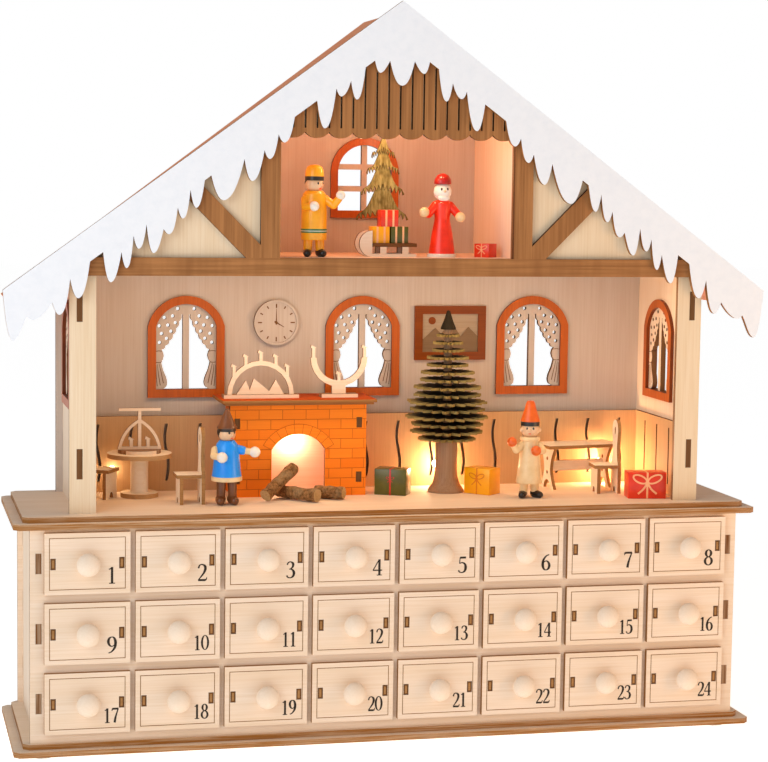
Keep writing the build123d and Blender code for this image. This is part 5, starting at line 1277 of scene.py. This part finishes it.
red_figure = figure(
    (31.0, -13.5, attic_z),
    [("white", [(0, 0), (7.9, 0), (8.0, 0.4), (8.0, 1.5), (7.6, 1.9), (0, 1.9)]),
     ("red", [(0, 1.8), (7.3, 1.8), (7.1, 4), (5.8, 13), (4.4, 20), (4.3, 22), (5.0, 27), (4.8, 29.8),
              (3.6, 31.4), (0, 31.7)]),
     ("maroon", [(0, 40.2), (4.7, 40.2), (4.9, 40.9), (4.6, 42.9), (3.3, 45.0), (1.6, 46.0), (0, 46.2)])],
    [*arm("red", (4.2, -0.6, 28.4), (8.6, -1.8, 23.4), (8.8, -4.6, 22.6), (2.5, 2.2, 2.0)),
     *arm("red", (-4.2, -0.6, 28.4), (-8.4, -1.8, 23.6), (-10.0, -3.6, 24.4), (2.5, 2.2, 2.0))],
    [("white", 5.0, (0, 0, 36.2), (1, 1, 1.02)), ("white", 2.9, (0, -2.8, 32.8), (1.2, 0.75, 0.7)),
     ("cream", 2.8, (8.6, -6.6, 22.2)), ("cream", 2.8, (-11.4, -4.4, 24.8)), *face(36.6, 4.9)])
attic_pair = mustard_figure + red_figure
add_piece("painted_attic_figures", attic_pair, figure_paints, "attic_figures")

# Clock and picture on the back wall
clock_low, clock_high = node_box("wall_clock")
clock_middle = (clock_low + clock_high) / 2
clock_radius = (clock_high.x - clock_low.x) / 2
clock_rim = 1.3
rim_relief = 0.6
mark_half = 0.36
mark_gap = 0.9           # from the rim
hour_reach = 2.6         # inner end of a mark, from the rim
quarter_reach = 3.4
hands = ((0, 7.8, 0.42), (120, 5.4, 0.5))    # angle, length and half width
hand_tip = 0.12
hand_tail = 1.2
ink_relief = 0.06
pin_relief = 0.12
clock_disc = circle(0, 0, clock_radius, 56)
clock_face = circle(0, 0, clock_radius - clock_rim, 56)
clock = [placed(plate(clock_disc, thin_board), (0, back_wall_y - thin_board, 0)),
         placed(plate(clock_disc, rim_relief, [clock_face]), (0, clock_low.y, 0))]
marks = []
for hour in range(12):
    way = Vector((math.sin(math.tau * hour / 12), math.cos(math.tau * hour / 12)))
    inner = clock_radius - clock_rim - (hour_reach if hour % 3 else quarter_reach)
    outer = clock_radius - clock_rim - mark_gap
    marks.append([(way.x * radius, way.y * radius, mark_half) for radius in (inner, outer)])
for angle, length, half in hands:
    way = Vector((math.sin(math.radians(angle)), math.cos(math.radians(angle))))
    marks.append([(-hand_tail * way.x, -hand_tail * way.y, half),
                  (way.x * length, way.y * length, hand_tip)])
clock += [placed(ribbon(mark, ink_relief, 1), (0, back_wall_y - thin_board, 0)) for mark in marks]
hand_pin = plate(circle(0, 0, 0.8, 14), pin_relief, (), 1, 1)
clock.append(placed(hand_pin, (0, back_wall_y - thin_board - pin_relief, 0)))
clock = all_placed(clock, (clock_middle.x, 0, clock_middle.z))
# The clock's board carries the room's painted shade
add_piece("sawn_clock", clock, [room_ply, burnt_edge], "wall_clock")

picture_low, picture_high = node_box("framed_picture")
picture_middle = (picture_low + picture_high) / 2
picture_size = picture_high - picture_low
picture_frame = 4.7
view_board = 1.0
hill_relief = 0.4
cap_relief = 0.2
disc_relief = 0.3
view_front = picture_size.y - view_board
view_width = picture_size.x - 2 * picture_frame
view_height = picture_size.z - 2 * picture_frame
view = rectangle(0, 0, view_width, view_height)
hills = [(-view_width / 2, -view_height / 2), (view_width / 2, -view_height / 2), (view_width / 2, -2.0),
         (11.0, 3.5), (6.5, -2.0), (0.5, 6.5), (-5.5, -0.5), (-9.0, 3.0), (-view_width / 2, -4.0)]
low_disc = circle(-11.0, 7.2, 2.2, 20)
snow_cap = [(-2.2, 3.2), (-0.8, 3.9), (0.4, 2.9), (1.6, 4.0), (2.9, 3.0), (0.5, 6.5)]
picture = [plate(rectangle(0, 0, picture_size.x, picture_size.z), picture_size.y, [view], 0, 0),
           placed(plate(view, view_board, (), 1, 1), (0, view_front, 0)),
           placed(plate(hills, hill_relief, (), 2, 2), (0, view_front - hill_relief, 0)),
           placed(plate(snow_cap, cap_relief, (), 1, 1), (0, view_front - hill_relief - cap_relief, 0)),
           placed(plate(low_disc, disc_relief, (), 0, 0), (0, view_front - disc_relief, 0))]
picture = all_placed(picture, (picture_middle.x, picture_low.y, picture_middle.z))
add_piece("framed_hills", picture, [picture_stain, picture_board, picture_shade],
          "framed_picture")

# Diode lamps: small domes before the wainscot, above the hearth's mouth and behind the attic's planks
wainscot_lamps = (-145.5, 43.65, 145.5)
wainscot_lamp_z = floor_z + 13.0
hearth_lamp_z = floor_z + 39.4
attic_lamps = (-32.5, 32.5)
attic_lamp_z = node_box("led_bulbs")[1].z - 2.0
dome = [(0, 0), (1.95, 0), (2.0, 0.4), (2.0, 3.0), *arc(0, 3.0, 2.0, 1.9, 0, 90, 8)]
lamps = [placed(turned(dome, 0, 24), (x, wainscot_y, wainscot_lamp_z), 0, 90) for x in wainscot_lamps]
lamps.append(placed(turned(dome, 0, 24), (hearth_x, wainscot_y - 7.0, hearth_lamp_z), 0, 90))
lamps += [placed(turned(dome, 0, 24), (x, panel_back_y, attic_lamp_z), 0, -90) for x in attic_lamps]
add_piece("diode_lamps", lamps, [lamp_glass], "led_bulbs")

# Camera: the photograph's view
camera_data = bpy.data.cameras.new("photo_camera")
camera_data.sensor_width = 36.0
camera_data.lens = 101.29
camera = bpy.data.objects.new("photo_camera", camera_data)
camera_at = Vector((-281.56, -1174.14, 311.1))
camera_turn = -13.58
camera_tilt = -5.49
camera_roll = 0.51
aim = Matrix.Rotation(math.radians(camera_roll), 3, "Y") @ Matrix.Rotation(math.radians(camera_tilt), 3, "X")
aim = aim @ Matrix.Rotation(math.radians(camera_turn), 3, "Z")
camera.matrix_world = (Matrix.Translation(camera_at * mm)
                       @ Matrix((aim.col[0], aim.col[2], -aim.col[1])).transposed().to_4x4())
bpy.context.scene.collection.objects.link(camera)
bpy.context.scene.camera = camera

# Floor and light
floor_half = 6.0         # metres
paper_glow = 0.68
fill_light = 0.33        # strength of the white world on things; the camera sees it at one
floor = bpy.data.meshes.new("floor")
floor_shape = bmesh.new()
bmesh.ops.create_grid(floor_shape, x_segments=1, y_segments=1, size=floor_half)
floor_shape.to_mesh(floor)
floor_shape.free()
paper, paper_tree, paper_shader, paper_coords = new_finish("white_paper", 0.9)
paper_tooth = grain(paper_tree, paper_coords, (3.0, 3.0, 3.0))
paper_tone = tinted(paper_tree, paper_tooth, "#FBFBFB", "#F7F7F7")
paper_tree.links.new(paper_tone, paper_shader.inputs["Base Color"])
paper_shader.inputs["Emission Color"].default_value = linear("#FFFFFF")
paper_shader.inputs["Emission Strength"].default_value = paper_glow
floor.materials.append(paper)
floor_piece = bpy.data.objects.new("floor", floor)
bpy.context.scene.collection.objects.link(floor_piece)

world = bpy.data.worlds.new("studio")
world.use_nodes = True
sky = world.node_tree.nodes["Background"]
sky.inputs["Color"].default_value = linear("#FFFFFF")
seen = add_node(world.node_tree, "ShaderNodeLightPath", {})
strength = add_node(world.node_tree, "ShaderNodeMapRange",
                    {0: seen.outputs["Is Camera Ray"], 3: fill_light, 4: 1.0})
world.node_tree.links.new(strength.outputs[0], sky.inputs["Strength"])
bpy.context.scene.world = world
bpy.context.scene.view_settings.view_transform = "Standard"


def add_light(name, kind, at, power, colour):
    """Light of a kind at a point in millimetres."""
    light = bpy.data.lights.new(name, kind)
    light.energy = power
    light.color = linear(colour)[:3]
    lamp = bpy.data.objects.new(name, light)
    lamp.location = Vector(at) * mm
    bpy.context.scene.collection.objects.link(lamp)
    return lamp


def soft_box(name, at, size, power, colour):
    """Square studio light that looks at the calendar, with its place and size in millimetres."""
    lamp = add_light(name, "AREA", at, power, colour)
    lamp.data.size = size * mm
    lamp.rotation_euler = (light_aim - Vector(at)).to_track_quat("-Z", "Y").to_euler()


def warm_glow(name, at, power, radius=2.5, colour="#FFCFA0"):
    """Diode light at a point in millimetres."""
    add_light(name, "POINT", at, power, colour).data.shadow_soft_size = radius * mm


light_aim = Vector((0, 0, 200))
wainscot_powers = (0.002, 0.06, 0.055)
attic_power = 0.042
soft_box("left_light", (-700, -650, 520), 600, 3.3, "#F6F9FF")
soft_box("warm_right_light", (480, -380, 140), 250, 0.75, "#FFB860")
warm_glow("hearth_glow", (hearth_x, wainscot_y - 14.0, hearth_lamp_z - 10.0), 0.03, 5.0, "#FFE2C0")
for place, (x, power) in enumerate(zip(wainscot_lamps, wainscot_powers)):
    warm_glow(f"wainscot_glow_{place}", (x, wainscot_y - 8.0, wainscot_lamp_z), power)
beam_lamp = add_light("beam_glow", "AREA", (0, panel_back_y + 9.0, attic_z - 6.0), 0.15, "#FFD8A8")
beam_lamp.data.shape = "RECTANGLE"
beam_lamp.data.size = 300 * mm
beam_lamp.data.size_y = 12 * mm
for place, x in enumerate(attic_lamps):
    warm_glow(f"attic_glow_{place}", (0.6 * x, panel_back_y + 12.0, attic_lamp_z - 8.0), attic_power)
